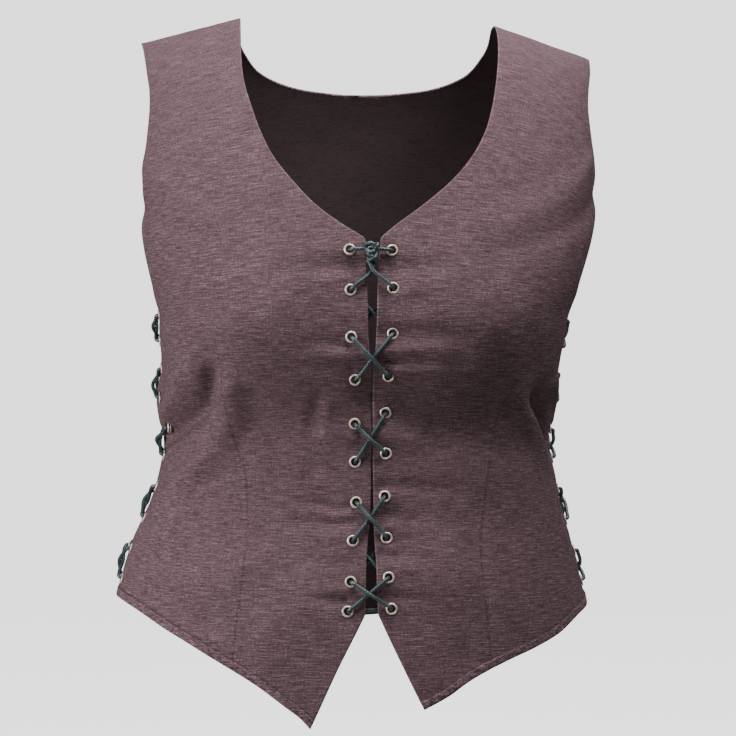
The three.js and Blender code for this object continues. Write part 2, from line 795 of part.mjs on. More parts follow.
// Cord swept along a chain of points, closed at both ends.
function cordGeometry(points, radius) {
  const count = points.length;
  const tangents = points.map((point, index) => {
    const before = points[Math.max(index - 1, 0)];
    const after = points[Math.min(index + 1, count - 1)];
    const arriving = new THREE.Vector3().subVectors(point, before).normalize();
    const leaving = new THREE.Vector3().subVectors(after, point).normalize();
    return arriving.add(leaving).normalize();
  });
  const up = Math.abs(tangents[0].z) < 0.9 ? new THREE.Vector3(0, 0, 1) : new THREE.Vector3(1, 0, 0);
  const side = new THREE.Vector3().crossVectors(up, tangents[0]).normalize();
  const positions = [];
  points.forEach((point, index) => {
    const tangent = tangents[index];
    side.addScaledVector(tangent, -side.dot(tangent)).normalize();
    const other = new THREE.Vector3().crossVectors(tangent, side);
    for (let step = 0; step < LACE_SIDES; step += 1) {
      const angle = 2 * Math.PI * step / LACE_SIDES;
      const corner = point.clone();
      corner.addScaledVector(side, radius * Math.cos(angle));
      corner.addScaledVector(other, radius * Math.sin(angle));
      positions.push(corner.x, corner.y, corner.z);
    }
  });
  const triangles = [];
  for (let ring = 0; ring < count - 1; ring += 1) {
    for (let step = 0; step < LACE_SIDES; step += 1) {
      const next = (step + 1) % LACE_SIDES;
      const a = ring * LACE_SIDES + step;
      const b = ring * LACE_SIDES + next;
      triangles.push(a, b, b + LACE_SIDES, a, b + LACE_SIDES, a + LACE_SIDES);
    }
  }
  const last = (count - 1) * LACE_SIDES;
  for (let step = 1; step < LACE_SIDES - 1; step += 1) {
    triangles.push(0, step + 1, step);
    triangles.push(last, last + step, last + step + 1);
  }
  const geometry = new THREE.BufferGeometry();
  geometry.setAttribute('position', new THREE.BufferAttribute(new Float32Array(positions), 3));
  geometry.setIndex(triangles);
  return faceOut(geometry);
}

// Direction from a spot toward a target, flat along the cloth there.
function flatToward(spot, target) {
  const toward = new THREE.Vector3().subVectors(target, spot.point);
  toward.addScaledVector(spot.out, -toward.dot(spot.out));
  return toward.normalize();
}

// Cord points through an eyelet, from the outside in.
function threadIn(spot, outsideTarget, insideTarget) {
  const outside = flatToward(spot, outsideTarget);
  const inside = flatToward(spot, insideTarget);
  const at = (toward, away, out) => {
    return spot.point.clone().addScaledVector(toward, away).addScaledVector(spot.out, out);
  };
  return [
    at(outside, LACE_BEND_REACH, LACE_BEND_HEIGHT),
    at(outside, LACE_HOLE_REACH, LACE_HOLE_HEIGHT),
    at(inside, LACE_HOLE_REACH, -LACE_HOLE_HEIGHT),
    at(inside, LACE_BEND_REACH, -LACE_BEND_HEIGHT),
  ];
}

// Middle of a crossing between four eyelets, moved out of or into the cloth.
function crossing(first, second, out) {
  const angle = (first.angle + second.angle) / 2;
  const height = (first.point.z + second.point.z) / 2;
  const middle = clothPlace(angle, levelOf(angle, height));
  return middle.point.clone().addScaledVector(middle.out, out);
}

// One strand going down the rows, starting at a row on one edge.
// Outside it runs from odd rows to even rows, inside from even rows to odd.
// isOver says whether it lies over the other strand where they cross after a row.
function strandDown(near, far, firstRow, isOver) {
  const rows = near.length;
  const points = [];
  let here = near;
  let there = far;
  for (let row = firstRow; row < rows; row += 1) {
    const outsideNext = row % 2 === 0;
    const spot = here[row];
    const nextSpot = row + 1 < rows ? there[row + 1] : there[row];
    const lastSpot = row > 0 ? there[row - 1] : there[row];
    const passed = outsideNext
      ? threadIn(spot, nextSpot.point, lastSpot.point).reverse()
      : threadIn(spot, lastSpot.point, nextSpot.point);
    points.push(...passed);
    if (row + 1 < rows) {
      const lift = isOver(row) ? LACE_OVER_HEIGHT : LACE_UNDER_HEIGHT;
      points.push(crossing(spot, nextSpot, outsideNext ? lift : -lift));
    }
    [here, there] = [there, here];
  }
  return points;
}

// Tail inside the cloth from an eyelet, hanging down and away from the opening.
function tailPoints(spot, awayDegrees) {
  const rows = [
    { away: 0.35, down: 14, out: -5.5 },
    { away: 0.7, down: 30, out: -5.5 },
    { away: 1.0, down: 46, out: -5.0 },
  ];
  return rows.map((row) => {
    const angle = spot.angle + radians(awayDegrees) * row.away;
    const place = clothPlace(angle, levelOf(angle, spot.point.z - row.down));
    return place.point.clone().addScaledVector(place.out, row.out);
  });
}

// The garment

const group = new THREE.Group();
group.name = 'medieval_vest';

function addMesh(name, geometry, colour, roughness, metalness) {
  const material = new THREE.MeshStandardMaterial({ color: colour, roughness, metalness });
  material.name = `${name}_material`;
  const mesh = new THREE.Mesh(geometry, material);
  mesh.name = name;
  geometry.computeVertexNormals();
  group.add(mesh);
  return mesh;
}

const CLOTH_COLOUR = 0x8a7078;
const BRASS_COLOUR = 0xb9a584;
const LACE_COLOUR = 0x1f4a4c;

const shoulderLine = (table) => {
  const neck = placeRow(table.neckline[table.neckline.length - 1]);
  const tip = placeRow(table.armhole[table.armhole.length - 1]);
  return [
    { angle: neck.angle, level: RIGHT_ANGLE, share: 0 },
    { angle: tip.angle, level: RIGHT_ANGLE, share: 1 },
  ];
};

const spots = {};

for (const [name, table] of Object.entries(FRONTS)) {
  const edges = {
    inner: [
      makeRun(table.slit, 0, SLIT_TOP),
      makeRun(table.edge, SLIT_TOP, FRONT_NECK_FOOT),
      makeRun(table.neckline, FRONT_NECK_FOOT, 1),
    ],
    outer: [
      makeRun(table.laced.slice(0, 2), 0, SLIT_TOP),
      makeRun(table.laced.slice(1), SLIT_TOP, FRONT_UNDERARM),
      makeRun(table.armhole, FRONT_UNDERARM, 1),
    ],
    bottom: [makeRun(table.hem, 0, 1)],
    top: [{ from: 0, to: 1, rows: shoulderLine(table) }],
  };
  const panel = faceOut(panelGeometry(edges, sharesOf(FRONT_COLUMNS), sharesOf(FRONT_ROWS), -1));
  const frontSpots = table.eyelets.map((row) => seatedOn(panel, spotOf(row)));
  const sideSpots = table.sideEyelets.map((height) => {
    return seatedOn(panel, spotBeside(table.laced, height, -table.sign));
  });
  spots[table.side] = { front: frontSpots, side: sideSpots };
  let solid = toSolid(panel);
  for (const spot of [...frontSpots, ...sideSpots]) {
    solid = solid.subtract(toSolid(holeGeometry(spot)));
    solid = solid.subtract(toSolid(seatGeometry(spot, 1)));
    solid = solid.subtract(toSolid(seatGeometry(spot, -1)));
  }
  addMesh(name, fromSolid(solid), CLOTH_COLOUR, 0.95, 0);
}

const backHalves = Object.values(BACK_HALVES).map((table) => {
  const edges = {
    inner: [makeRun(table.centre, 0, BACK_NECK_FOOT), makeRun(table.neckline, BACK_NECK_FOOT, 1)],
    outer: [makeRun(table.laced, 0, BACK_UNDERARM), makeRun(table.armhole, BACK_UNDERARM, 1)],
    bottom: [makeRun(table.hem, 0, 1)],
    top: [{ from: 0, to: 1, rows: shoulderLine(table) }],
  };
  const half = panelGeometry(edges, sharesOf(BACK_COLUMNS), sharesOf(BACK_ROWS), 1, BACK_NECK_FOOT);
  if (table.direction < 0) {
    const index = half.getIndex();
    index.array.reverse();
  }
  return half;
});
const backPanel = faceOut(mergeVertices(mergeGeometries(backHalves), 1e-3));
const backSpots = {
  left: FRONTS.front_left.sideEyelets.map((height) => {
    return seatedOn(backPanel, spotBeside(BACK_HALVES.left.laced, height, 1));
  }),
  right: FRONTS.front_right.sideEyelets.map((height) => {
    const spot = seatedOn(backPanel, spotBeside(BACK_HALVES.right.laced, height, -1));
    return { ...spot, angle: spot.angle - 2 * Math.PI };
  }),
};
let backSolid = toSolid(backPanel);
for (const spot of [...backSpots.left, ...backSpots.right]) {
  backSolid = backSolid.subtract(toSolid(holeGeometry(spot)));
  backSolid = backSolid.add(toSolid(joinedEyeletGeometry(spot)));
}
addMesh('back', fromSolid(backSolid), CLOTH_COLOUR, 0.95, 0);

// Eyelets of the fronts

for (const side of ['right', 'left']) {
  for (const place of ['front', 'side']) {
    spots[side][place].forEach((spot, index) => {
      const number = String(index + 1).padStart(2, '0');
      addMesh(`eyelet_${place}_${side}_${number}`, eyeletGeometry(spot), BRASS_COLOUR, 0.4, 0.9);
    });
  }
}

// Front lace: from the knot down one way, over the inside bar at the foot, and up the other

const frontRight = spots.right.front;
const frontLeft = spots.left.front;
const knotMiddle = crossing(frontRight[0], frontLeft[0], 0);
const knotOut = clothPlace(0, levelOf(0, knotMiddle.z)).out;
const knotCentre = knotMiddle.clone().addScaledVector(knotOut, KNOT_OUT);
knotCentre.z -= 1.2;

function besideKnot(across, out, up) {
  return knotCentre.clone().add(new THREE.Vector3(across, -out, up));
}

const crossUnder = crossing(frontRight[1], frontLeft[1], LACE_UNDER_HEIGHT);
const crossOver = crossing(frontRight[1], frontLeft[1], LACE_OVER_HEIGHT);
crossUnder.z += KNOT_CROSS_RISE;
crossOver.z += KNOT_CROSS_RISE;

const fromRight = strandDown(frontRight, frontLeft, 1, () => false);
const fromLeft = strandDown(frontLeft, frontRight, 1, () => true);
const frontLacePoints = [
  besideKnot(3.0, -0.9, -8.2),
  crossUnder,
  ...threadIn(frontRight[1], crossUnder, frontLeft[2].point),
  ...fromRight.slice(4),
  ...fromLeft.slice(4).reverse(),
  ...threadIn(frontLeft[1], crossOver, frontRight[2].point).reverse(),
  crossOver,
  besideKnot(-3.0, 0.4, -8.2),
];
addMesh('front_lace', cordGeometry(frontLacePoints, LACE_RADIUS), LACE_COLOUR, 0.8, 0);

const knotGeometry = new THREE.SphereGeometry(1, 12, 8);
knotGeometry.scale(KNOT_HALF.across, KNOT_HALF.out, KNOT_HALF.up);
knotGeometry.translate(knotCentre.x, knotCentre.y, knotCentre.z);
addMesh('front_lace_knot', fromSolid(toSolid(knotGeometry)), LACE_COLOUR, 0.8, 0);

for (const side of ['right', 'left']) {
  const sign = side === 'left' ? 1 : -1;
  const spot = spots[side].front[0];
  const tail = tailPoints(spot, sign * 12);
  const points = [
    besideKnot(sign * 6.3, -0.8, 0.9),
    ...threadIn(spot, knotCentre, tail[0]),
    ...tail,
  ];
  addMesh(`front_lace_end_${side}`, cordGeometry(points, LACE_RADIUS), LACE_COLOUR, 0.8, 0);
}

// Side laces: both ends go in at the top row and hang inside

for (const side of ['right', 'left']) {
  const sign = side === 'left' ? 1 : -1;
  const ahead = spots[side].side;
  const behind = backSpots[side];
  const aheadTail = tailPoints(ahead[0], -sign * 13);
  const behindTail = tailPoints(behind[0], sign * 13);
  const down = strandDown(ahead, behind, 0, (row) => row % 4 < 2);
  const back = strandDown(behind, ahead, 0, (row) => row % 4 > 1);
  const points = [
    ...aheadTail.reverse(),
    ...threadIn(ahead[0], behind[1].point, aheadTail[2]).reverse(),
    ...down.slice(4),
    ...back.slice(4).reverse(),
    ...threadIn(behind[0], ahead[1].point, behindTail[0]),
    ...behindTail,
  ];
  addMesh(`side_lace_${side}`, cordGeometry(points, LACE_RADIUS), LACE_COLOUR, 0.8, 0);
}

export default group;
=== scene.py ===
import bpy
import numpy as np
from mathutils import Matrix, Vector


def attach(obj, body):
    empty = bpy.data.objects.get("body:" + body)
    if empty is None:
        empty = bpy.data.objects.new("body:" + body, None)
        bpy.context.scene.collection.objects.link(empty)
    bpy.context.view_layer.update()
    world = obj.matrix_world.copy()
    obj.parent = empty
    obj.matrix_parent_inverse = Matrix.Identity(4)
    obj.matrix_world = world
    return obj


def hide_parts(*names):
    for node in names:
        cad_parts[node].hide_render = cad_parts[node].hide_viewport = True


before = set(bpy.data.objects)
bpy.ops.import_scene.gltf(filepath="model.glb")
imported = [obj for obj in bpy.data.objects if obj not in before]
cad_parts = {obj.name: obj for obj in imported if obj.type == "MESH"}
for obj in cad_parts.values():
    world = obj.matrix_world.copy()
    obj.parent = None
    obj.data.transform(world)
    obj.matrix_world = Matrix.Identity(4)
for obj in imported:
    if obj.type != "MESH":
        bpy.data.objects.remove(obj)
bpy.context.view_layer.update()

# Camera
# One camera a little to the wearer's right of straight ahead, level with the middle
# of the vest. The focal length and image are in pixels of the 736 pixel frame.

IMAGE_PIXELS = 736
FOCAL_PIXELS = 2690
SENSOR_MM = 36.0
CAMERA_TURN = np.radians(-4.0)
CAMERA_DISTANCE = 2.4
CAMERA_HEIGHT = -0.296
CAMERA_ACROSS = 0.0076

camera_data = bpy.data.cameras.new("camera")
camera_data.sensor_width = SENSOR_MM
camera_data.lens = SENSOR_MM * FOCAL_PIXELS / IMAGE_PIXELS
camera = bpy.data.objects.new("camera", camera_data)
back_direction = Vector((np.sin(CAMERA_TURN), -np.cos(CAMERA_TURN), 0.0))
right_direction = Vector((np.cos(CAMERA_TURN), np.sin(CAMERA_TURN), 0.0))
camera.location = right_direction * CAMERA_ACROSS + back_direction * CAMERA_DISTANCE
camera.location.z = CAMERA_HEIGHT
camera.rotation_euler = (-back_direction).to_track_quat("-Z", "Y").to_euler()
bpy.context.scene.collection.objects.link(camera)
bpy.context.scene.camera = camera

# Stage and light
# A floor that curves up into a wall behind, both pale to the camera but throwing little
# light back. Soft lamps hang over the front, a strong one stands at the viewer's left and
# a faint one at the right, and one above the back lights the side that the camera misses.

FLOOR_HEIGHT = -0.72
FLOOR_FRONT = -4.6
WALL_BEHIND = 4.6
WALL_TOP = 3.0
SWEEP_RADIUS = 1.2
STAGE_HALF_WIDTH = 4.6
STAGE_COLOUR = (0.30, 0.30, 0.30, 1.0)
STAGE_GLOW = 2.0
SURROUND_LIGHT = 0.05


WHITE = (1.0, 1.0, 1.0, 1.0)


def smooth_mesh(name, points, faces):
    """A mesh of points in metres and a list of faces, shaded smooth."""
    mesh = bpy.data.meshes.new(name)
    mesh.from_pydata(points.tolist(), [], faces)
    mesh.polygons.foreach_set("use_smooth", np.ones(len(mesh.polygons), bool))
    return mesh


def make_sweep():
    """A floor line, a quarter circle and a wall line, carried straight across."""
    turn = np.linspace(0.0, np.pi / 2, 24)
    sweep_y = WALL_BEHIND - SWEEP_RADIUS + SWEEP_RADIUS * np.sin(turn)
    sweep_z = FLOOR_HEIGHT + SWEEP_RADIUS - SWEEP_RADIUS * np.cos(turn)
    line_y = np.concatenate(([FLOOR_FRONT], sweep_y, [WALL_BEHIND]))
    line_z = np.concatenate(([FLOOR_HEIGHT], sweep_z, [WALL_TOP]))
    left = np.stack([np.full_like(line_y, -STAGE_HALF_WIDTH), line_y, line_z], -1)
    right = left * (-1.0, 1.0, 1.0)
    count = len(line_y)
    step = np.arange(count - 1)
    faces = np.stack([step, step + count, step + count + 1, step + 1], -1)
    return smooth_mesh("sweep", np.concatenate([left, right]), faces.tolist())


def add_node(tree, kind, **values):
    """A node with its settings, its plain input values and its linked inputs."""
    node = tree.nodes.new(kind)
    for key, value in values.items():
        if key not in node.inputs:
            setattr(node, key, value)
        elif hasattr(value, "links"):
            tree.links.new(value, node.inputs[key])
        else:
            node.inputs[key].default_value = value
    return node


def add_maths(tree, operation, *values):
    """The result of one maths node on sockets or numbers."""
    node = add_node(tree, "ShaderNodeMath", operation=operation)
    for socket, value in zip(node.inputs, values):
        if hasattr(value, "links"):
            tree.links.new(value, socket)
        else:
            socket.default_value = value
    return node.outputs[0]


def start_material(name, plain):
    """A material whose shader has the plain values, with its node tree and its shader."""
    material = bpy.data.materials.new(name)
    material.use_nodes = True
    shader = material.node_tree.nodes["Principled BSDF"]
    for socket, value in plain.items():
        shader.inputs[socket].default_value = value
    return material, material.node_tree, shader


sweep_material, sweep_tree, sweep_shader = start_material(
    "pale_paper", {"Base Color": STAGE_COLOUR, "Roughness": 0.95, "Emission Color": WHITE}
)
sweep_seen = add_node(sweep_tree, "ShaderNodeLightPath").outputs["Is Camera Ray"]
sweep_glow = add_maths(sweep_tree, "MULTIPLY", sweep_seen, STAGE_GLOW)
sweep_tree.links.new(sweep_glow, sweep_shader.inputs["Emission Strength"])
sweep = bpy.data.objects.new("sweep", make_sweep())
sweep.data.materials.append(sweep_material)
bpy.context.scene.collection.objects.link(sweep)

# Each lamp's name, place and aim in metres, width in metres and power in watts.
LAMPS = (
    ("lamp_over", (-0.1, -0.5, 0.95), (0.0, -0.05, -0.28), 0.6, 20.5),
    ("lamp_over_right", (0.6, -0.5, 0.75), (0.0, -0.05, -0.22), 0.5, 13.0),
    ("lamp_left", (-1.2, -0.6, -0.15), (0.0, -0.05, -0.38), 0.7, 20.0),
    ("lamp_right", (1.2, -0.7, 0.1), (0.0, -0.05, -0.3), 0.6, 0.7),
    ("lamp_behind", (0.7, 1.3, 1.2), (0.0, 0.05, -0.28), 0.9, 16.0),
)
for lamp_name, lamp_place, lamp_aim, lamp_width, lamp_watts in LAMPS:
    lamp_data = bpy.data.lights.new(lamp_name, "AREA")
    lamp_data.shape = "DISK"
    lamp_data.size = lamp_width
    lamp_data.energy = lamp_watts
    lamp = bpy.data.objects.new(lamp_name, lamp_data)
    lamp.location = lamp_place
    lamp.rotation_euler = (Vector(lamp_aim) - lamp.location).to_track_quat("-Z", "Y").to_euler()
    bpy.context.scene.collection.objects.link(lamp)

surround = bpy.data.worlds.new("surround")
surround.use_nodes = True
surround_tree = surround.node_tree
surround_seen = add_node(surround_tree, "ShaderNodeLightPath").outputs["Is Camera Ray"]
surround_light = add_maths(
    surround_tree, "MULTIPLY_ADD", surround_seen, STAGE_GLOW - SURROUND_LIGHT, SURROUND_LIGHT
)
surround_background = surround_tree.nodes["Background"]
surround_background.inputs["Color"].default_value = WHITE
surround_tree.links.new(surround_light, surround_background.inputs["Strength"])
bpy.context.scene.world = surround

# Right and left fronts
# Each front is one piece of slubbed linen blend, lined, turned out through its edges
# and shaped by a long waist dart. It hangs from the shoulder seam, is laced to its
# fellow down the middle and to the back at the side, and has a turned, stitched hem.

# Lengths are in mm and brought to metres by this when a mesh is made.
MM = 0.001

# Level sections of the form the cloth hangs in.
SECTION_COLUMNS = ("height", "centre", "half", "front", "back", "square")
SECTIONS = (
    (-620, -9.0, 236, 160, 160, 2.3),
    (-500, -8.0, 208, 152, 132, 2.3),
    (-481, -8.0, 203, 150, 126, 2.3),
    (-449, -7.0, 194, 145, 114, 2.3),
    (-410, -3.6, 180, 138, 100, 2.35),
    (-385, -2.4, 174, 136, 95, 2.35),
    (-364, -2.2, 170, 136, 93, 2.4),
    (-325, -1.4, 171, 142, 100, 2.5),
    (-290, 0.2, 175, 149, 108, 2.65),
    (-268, 1.0, 178, 150, 111, 2.7),
    (-246, 2.4, 180, 150, 112, 2.7),
    (-225, 3.0, 187, 150, 112, 2.65),
    (-205, 3.4, 194, 150, 112, 2.6),
    (-184, 4.0, 200, 150, 112, 2.6),
    (-150, 4.6, 205, 150, 112, 2.6),
    (-58, 4.5, 207, 150, 112, 2.6),
    (0, 4.5, 207, 150, 112, 2.6),
)
section_table = dict(zip(SECTION_COLUMNS, np.array(SECTIONS, float).T))

BUST_HEIGHT = -262.0
FRONT_ARCH = 1.75
BACK_ARCH = 2.3
TURN_RADIUS = 165.0
RIGHT_ANGLE = np.pi / 2

# Shoulder ridges: a fraction of the half width and its height, inner then outer.
RIDGE_RIGHT = ((0.53, 14.4), (0.958, -9.0))
RIDGE_LEFT = ((0.54, 11.0), (0.955, -18.6))

# Folds: rise out (+) or in (-) and width in mm, how far it fades along its path,
# and the path as turns in degrees from the front middle with heights in mm.
LARGE_FOLDS = (
    (6, 55, 0, ((-38, -262), (-38, -263))),
    (6, 55, 0, ((38, -262), (38, -263))),
    (5, 58, 0, ((-44, -222), (-24, -222))),
    (8, 58, 0, ((24, -220), (46, -218))),
    (-7, 11, 0, ((-45.5, -300), (-47.5, -317), (-51, -330), (-60, -340), (-78, -352))),
    (7.5, 25, 0, ((-88, -326), (-90, -336))),
    (3.5, 12, 0, ((-40, -314), (-42, -340), (-50, -380))),
    (-6.5, 11.5, 0, ((53, -321), (60, -332), (66, -344), (71, -360))),
    (2.4, 14, 0, ((45, -320), (52, -340), (60, -362))),
    (-2.5, 20, 0, ((-12, -338), (-30, -342))),
    (-3, 20, 0, ((12, -332), (32, -336))),
    (-5, 16, 0, ((120, -352), (140, -310))),
    (-6, 15, 0, ((238, -340), (222, -298))),
    (-4, 26, 0, ((165, -362), (192, -358))),
)
FINE_FOLDS = (
    (-7.4, 8.2, 0.1, ((-46, -304), (-47.5, -319), (-53, -337), (-66, -350), (-84, -358))),
    (4.8, 11, 0.3, ((-37.5, -312), (-37.5, -336), (-43, -364), (-54, -388))),
    (6.4, 9.5, 0.1, ((-56.5, -304), (-61, -320), (-76, -335))),
    (-4.6, 8.5, 0.1, ((55, -325), (61, -336), (66, -348), (69, -360))),
    (2, 8.5, 0.3, ((47, -326), (53, -342), (59, -358), (64, -374))),
    (4.6, 9, 0.1, ((66, -308), (77, -322), (83, -340))),
    (-3.5, 30, 0, ((-16, -436), (-40, -436))),
    (-2.5, 26, 0, ((12, -426), (34, -428))),
    (-3.6, 15, 0.2, ((20, -354), (36, -361), (50, -364))),
    (-3.4, 10, 0.7, ((70, -140), (52, -172), (27, -203))),
    (3.2, 12, 0.5, ((60, -118), (46, -150), (33, -172))),
    (-2.6, 10, 0.8, ((-72, -150), (-52, -178), (-34, -200))),
    (2, 12, 0.6, ((-62, -122), (-48, -152), (-36, -172))),
    (-3.4, 8, 0.8, ((-5.5, -212), (-22, -214))),
    (1.6, 8, 0.8, ((-7, -196), (-22, -196))),
    (1.4, 5, 0.9, ((-7.5, -221), (-24, -223))),
    (-1.6, 4, 0.9, ((-6, -277), (-20, -273))),
    (1.9, 4.5, 0.9, ((-4, -286), (-22, -285))),
    (-2, 4.5, 0.9, ((-5.5, -296), (-18, -294))),
    (-2, 4, 0.9, ((-3.5, -414), (-13, -411), (-25, -404))),
    (1.4, 4, 0.9, ((-4.5, -420), (-19, -416))),
    (-2, 4, 0.9, ((-3.5, -427), (-23, -425))),
    (1.7, 6, 0.8, ((-4, -437), (-22, -437))),
    (-1.5, 5, 0.9, ((-3.5, -460), (-20, -457))),
    (1.6, 4.5, 0.9, ((-4, -482), (-15, -479))),
    (-2.6, 4.5, 0.9, ((-4, -491), (-15, -489))),
    (-1.8, 6, 0.3, ((-14.2, -322), (-16.4, -350), (-14.3, -382))),
    (1, 5, 0.3, ((-11.2, -326), (-12.6, -350), (-11.2, -374))),
    (-3.2, 8, 0.8, ((5, -213), (20, -212))),
    (1.5, 4.5, 0.9, ((6, -233), (17, -231))),
    (-3.6, 8, 0.7, ((3, -267), (14, -268), (24, -270))),
    (1.9, 4.5, 0.9, ((3.5, -281), (21, -279))),
    (-2.4, 3.8, 0.8, ((3.5, -290), (24, -292))),
    (1.9, 4, 0.9, ((6, -299), (25, -299))),
    (5, 34, 0, ((-29, -258), (-31, -258))),
    (5, 34, 0, ((29, -258), (31, -258))),
    (-6, 19, 0.3, ((2.5, -320), (22, -336), (42, -338))),
    (-0.8, 18, 0.3, ((-3, -328), (-22, -338), (-36, -334))),
    (2, 8, 0.7, ((6, -353), (24, -360))),
    (1.6, 8, 0.7, ((-5, -352), (-24, -356))),
    (-3.2, 6.5, 0.8, ((4, -396), (26, -400))),
    (1.4, 5, 0.9, ((6, -401), (19, -401))),
    (-1.9, 4.5, 0.9, ((5, -419), (19, -424))),
    (1.4, 4.5, 0.9, ((6, -431), (19, -434))),
    (-2, 4.5, 0.9, ((5, -453), (17, -457))),
    (1.4, 4, 0.9, ((6, -464), (17, -467))),
    (-2.4, 4.5, 0.9, ((6, -488), (18, -490))),
    (-2.2, 16, 0.5, ((-24, -478), (-42, -522))),
    (2, 18, 0.5, ((-14, -500), (-26, -548))),
    (2.2, 18, 0.5, ((22, -468), (42, -508))),
    (-2, 16, 0.5, ((12, -505), (24, -545))),
    (-2.4, 10, 0.8, ((100, -262), (128, -274))),
    (2, 11, 0.8, ((100, -300), (130, -322))),
    (-2.6, 10, 0.8, ((101, -373), (132, -392))),
    (2, 11, 0.8, ((101, -428), (126, -440))),
    (-2.4, 11, 0.8, ((260, -272), (232, -282))),
    (2.1, 11, 0.8, ((260, -322), (226, -330))),
    (-2.7, 10, 0.8, ((259, -400), (230, -410))),
    (2, 11, 0.8, ((259, -455), (236, -462))),
    (-3, 16, 0.5, ((110, -116), (140, -192))),
    (-3, 16, 0.5, ((250, -106), (222, -188))),
    (-2.8, 14, 0.3, ((168, -300), (158, -420), (160, -508))),
    (-2.6, 14, 0.3, ((196, -310), (204, -430), (200, -508))),
)


def follow(keys, values, at):
    """A smooth curve through the table: on each span a cubic whose end slopes are the
    neighbouring slopes weighted by the other span's length."""
    spans = np.diff(keys)
    slopes = np.diff(values) / spans
    ends = np.concatenate((slopes[:1], slopes, slopes[-1:]))
    wide = np.concatenate((spans[:1], spans, spans[-1:]))
    tangents = (ends[:-1] * wide[1:] + ends[1:] * wide[:-1]) / (wide[1:] + wide[:-1])
    at = np.clip(at, keys[0], keys[-1])
    index = np.clip(np.searchsorted(keys, at, side="right") - 1, 0, len(keys) - 2)
    span = spans[index]
    t = (at - keys[index]) / span
    start = (2 * t**3 - 3 * t**2 + 1) * values[index]
    start = start + (t**3 - 2 * t**2 + t) * span * tangents[index]
    end = (3 * t**2 - 2 * t**3) * values[index + 1]
    return start + end + (t**3 - t**2) * span * tangents[index + 1]


def section(name, height):
    """One column of the form's sections at a height."""
    return follow(section_table["height"], section_table[name], height)


def unit_place(angle, power):
    """Sideways and forward parts of a point on a unit superellipse: the sine and cosine
    over the power mean of both."""
    sine, cosine = np.sin(angle), np.cos(angle)
    scale = (np.abs(sine) ** power + np.abs(cosine) ** power) ** (-1.0 / power)
    return sine * scale, cosine * scale


def smooth_step(low, high, at):
    """Three t squared less two t cubed, between low and high."""
    t = np.clip((at - low) / (high - low), 0.0, 1.0)
    return t * t * (3.0 - 2.0 * t)


def ridge_height(fraction):
    """Height of the shoulder line: a straight slope on each side, blended between."""
    reach = np.hypot(fraction, 0.05)
    heights = []
    for (inner, inner_height), (outer, outer_height) in (RIDGE_RIGHT, RIDGE_LEFT):
        slope = (outer_height - inner_height) / (outer - inner)
        heights.append(inner_height + (reach - inner) * slope)
    blend = smooth_step(-0.4, 0.4, fraction)
    return heights[0] * (1.0 - blend) + heights[1] * blend


def form_place(angle, level):
    """Point of the bare form. Below the bust the level scales the bust height and the
    ring is the section there; above it the level is an angle up a superelliptic arch
    that draws the ring in to the shoulder line."""
    arch_up, arch_in = unit_place(np.clip(level, 0.0, RIGHT_ANGLE), FRONT_ARCH)
    rise = np.clip(arch_up, 0.0, 1.0)
    below = level < 0
    table_height = np.where(below, BUST_HEIGHT * (1.0 - level), BUST_HEIGHT * (1.0 - rise))
    sideways, forward = unit_place(angle, section("square", table_height))
    across = section("centre", table_height) + section("half", table_height) * sideways
    arched = BUST_HEIGHT + (ridge_height(sideways) - BUST_HEIGHT) * rise
    height = np.where(below, table_height, arched)
    back_in = (1.0 - rise**BACK_ARCH) ** (1.0 / BACK_ARCH)
    front = section("front", table_height) * np.where(below, 1.0, arch_in)
    back = section("back", table_height) * np.where(below, 1.0, back_in)
    depth = np.where(forward >= 0, front, back)
    return np.stack([across, -depth * forward, height], -1)


def fold_rise(angle, height, folds):
    """Sum over the folds of rise times a bell of the distance to the fold's path,
    fading along the path, with the cloth unrolled to turn radius times angle."""
    total = np.zeros(np.broadcast(angle, height).shape)
    for rise, width, fade, path in folds:
        path = np.array(path, float)
        path_s = np.radians(path[:, 0]) * TURN_RADIUS
        path_h = path[:, 1]
        middle = (path_s[0] + path_s[-1]) / 2
        around = 2 * np.pi * TURN_RADIUS
        s = angle * TURN_RADIUS
        s = s - around * np.round((s - middle) / around)
        nearest = np.full(total.shape, np.inf)
        along = np.zeros(total.shape)
        for step in range(len(path) - 1):
            run_s, run_h = path_s[step + 1] - path_s[step], path_h[step + 1] - path_h[step]
            part = (s - path_s[step]) * run_s + (height - path_h[step]) * run_h
            part = np.clip(part / (run_s**2 + run_h**2), 0.0, 1.0)
            away = np.hypot(s - path_s[step] - part * run_s, height - path_h[step] - part * run_h)
            closer = away < nearest
            nearest = np.where(closer, away, nearest)
            along = np.where(closer, (step + part) / (len(path) - 1), along)
        total += rise * (1.0 - fade * along) * np.exp(-((nearest / width) ** 2))
    return total


def unit(vectors):
    """Vectors over their lengths."""
    return vectors / np.linalg.norm(vectors, axis=-1, keepdims=True)


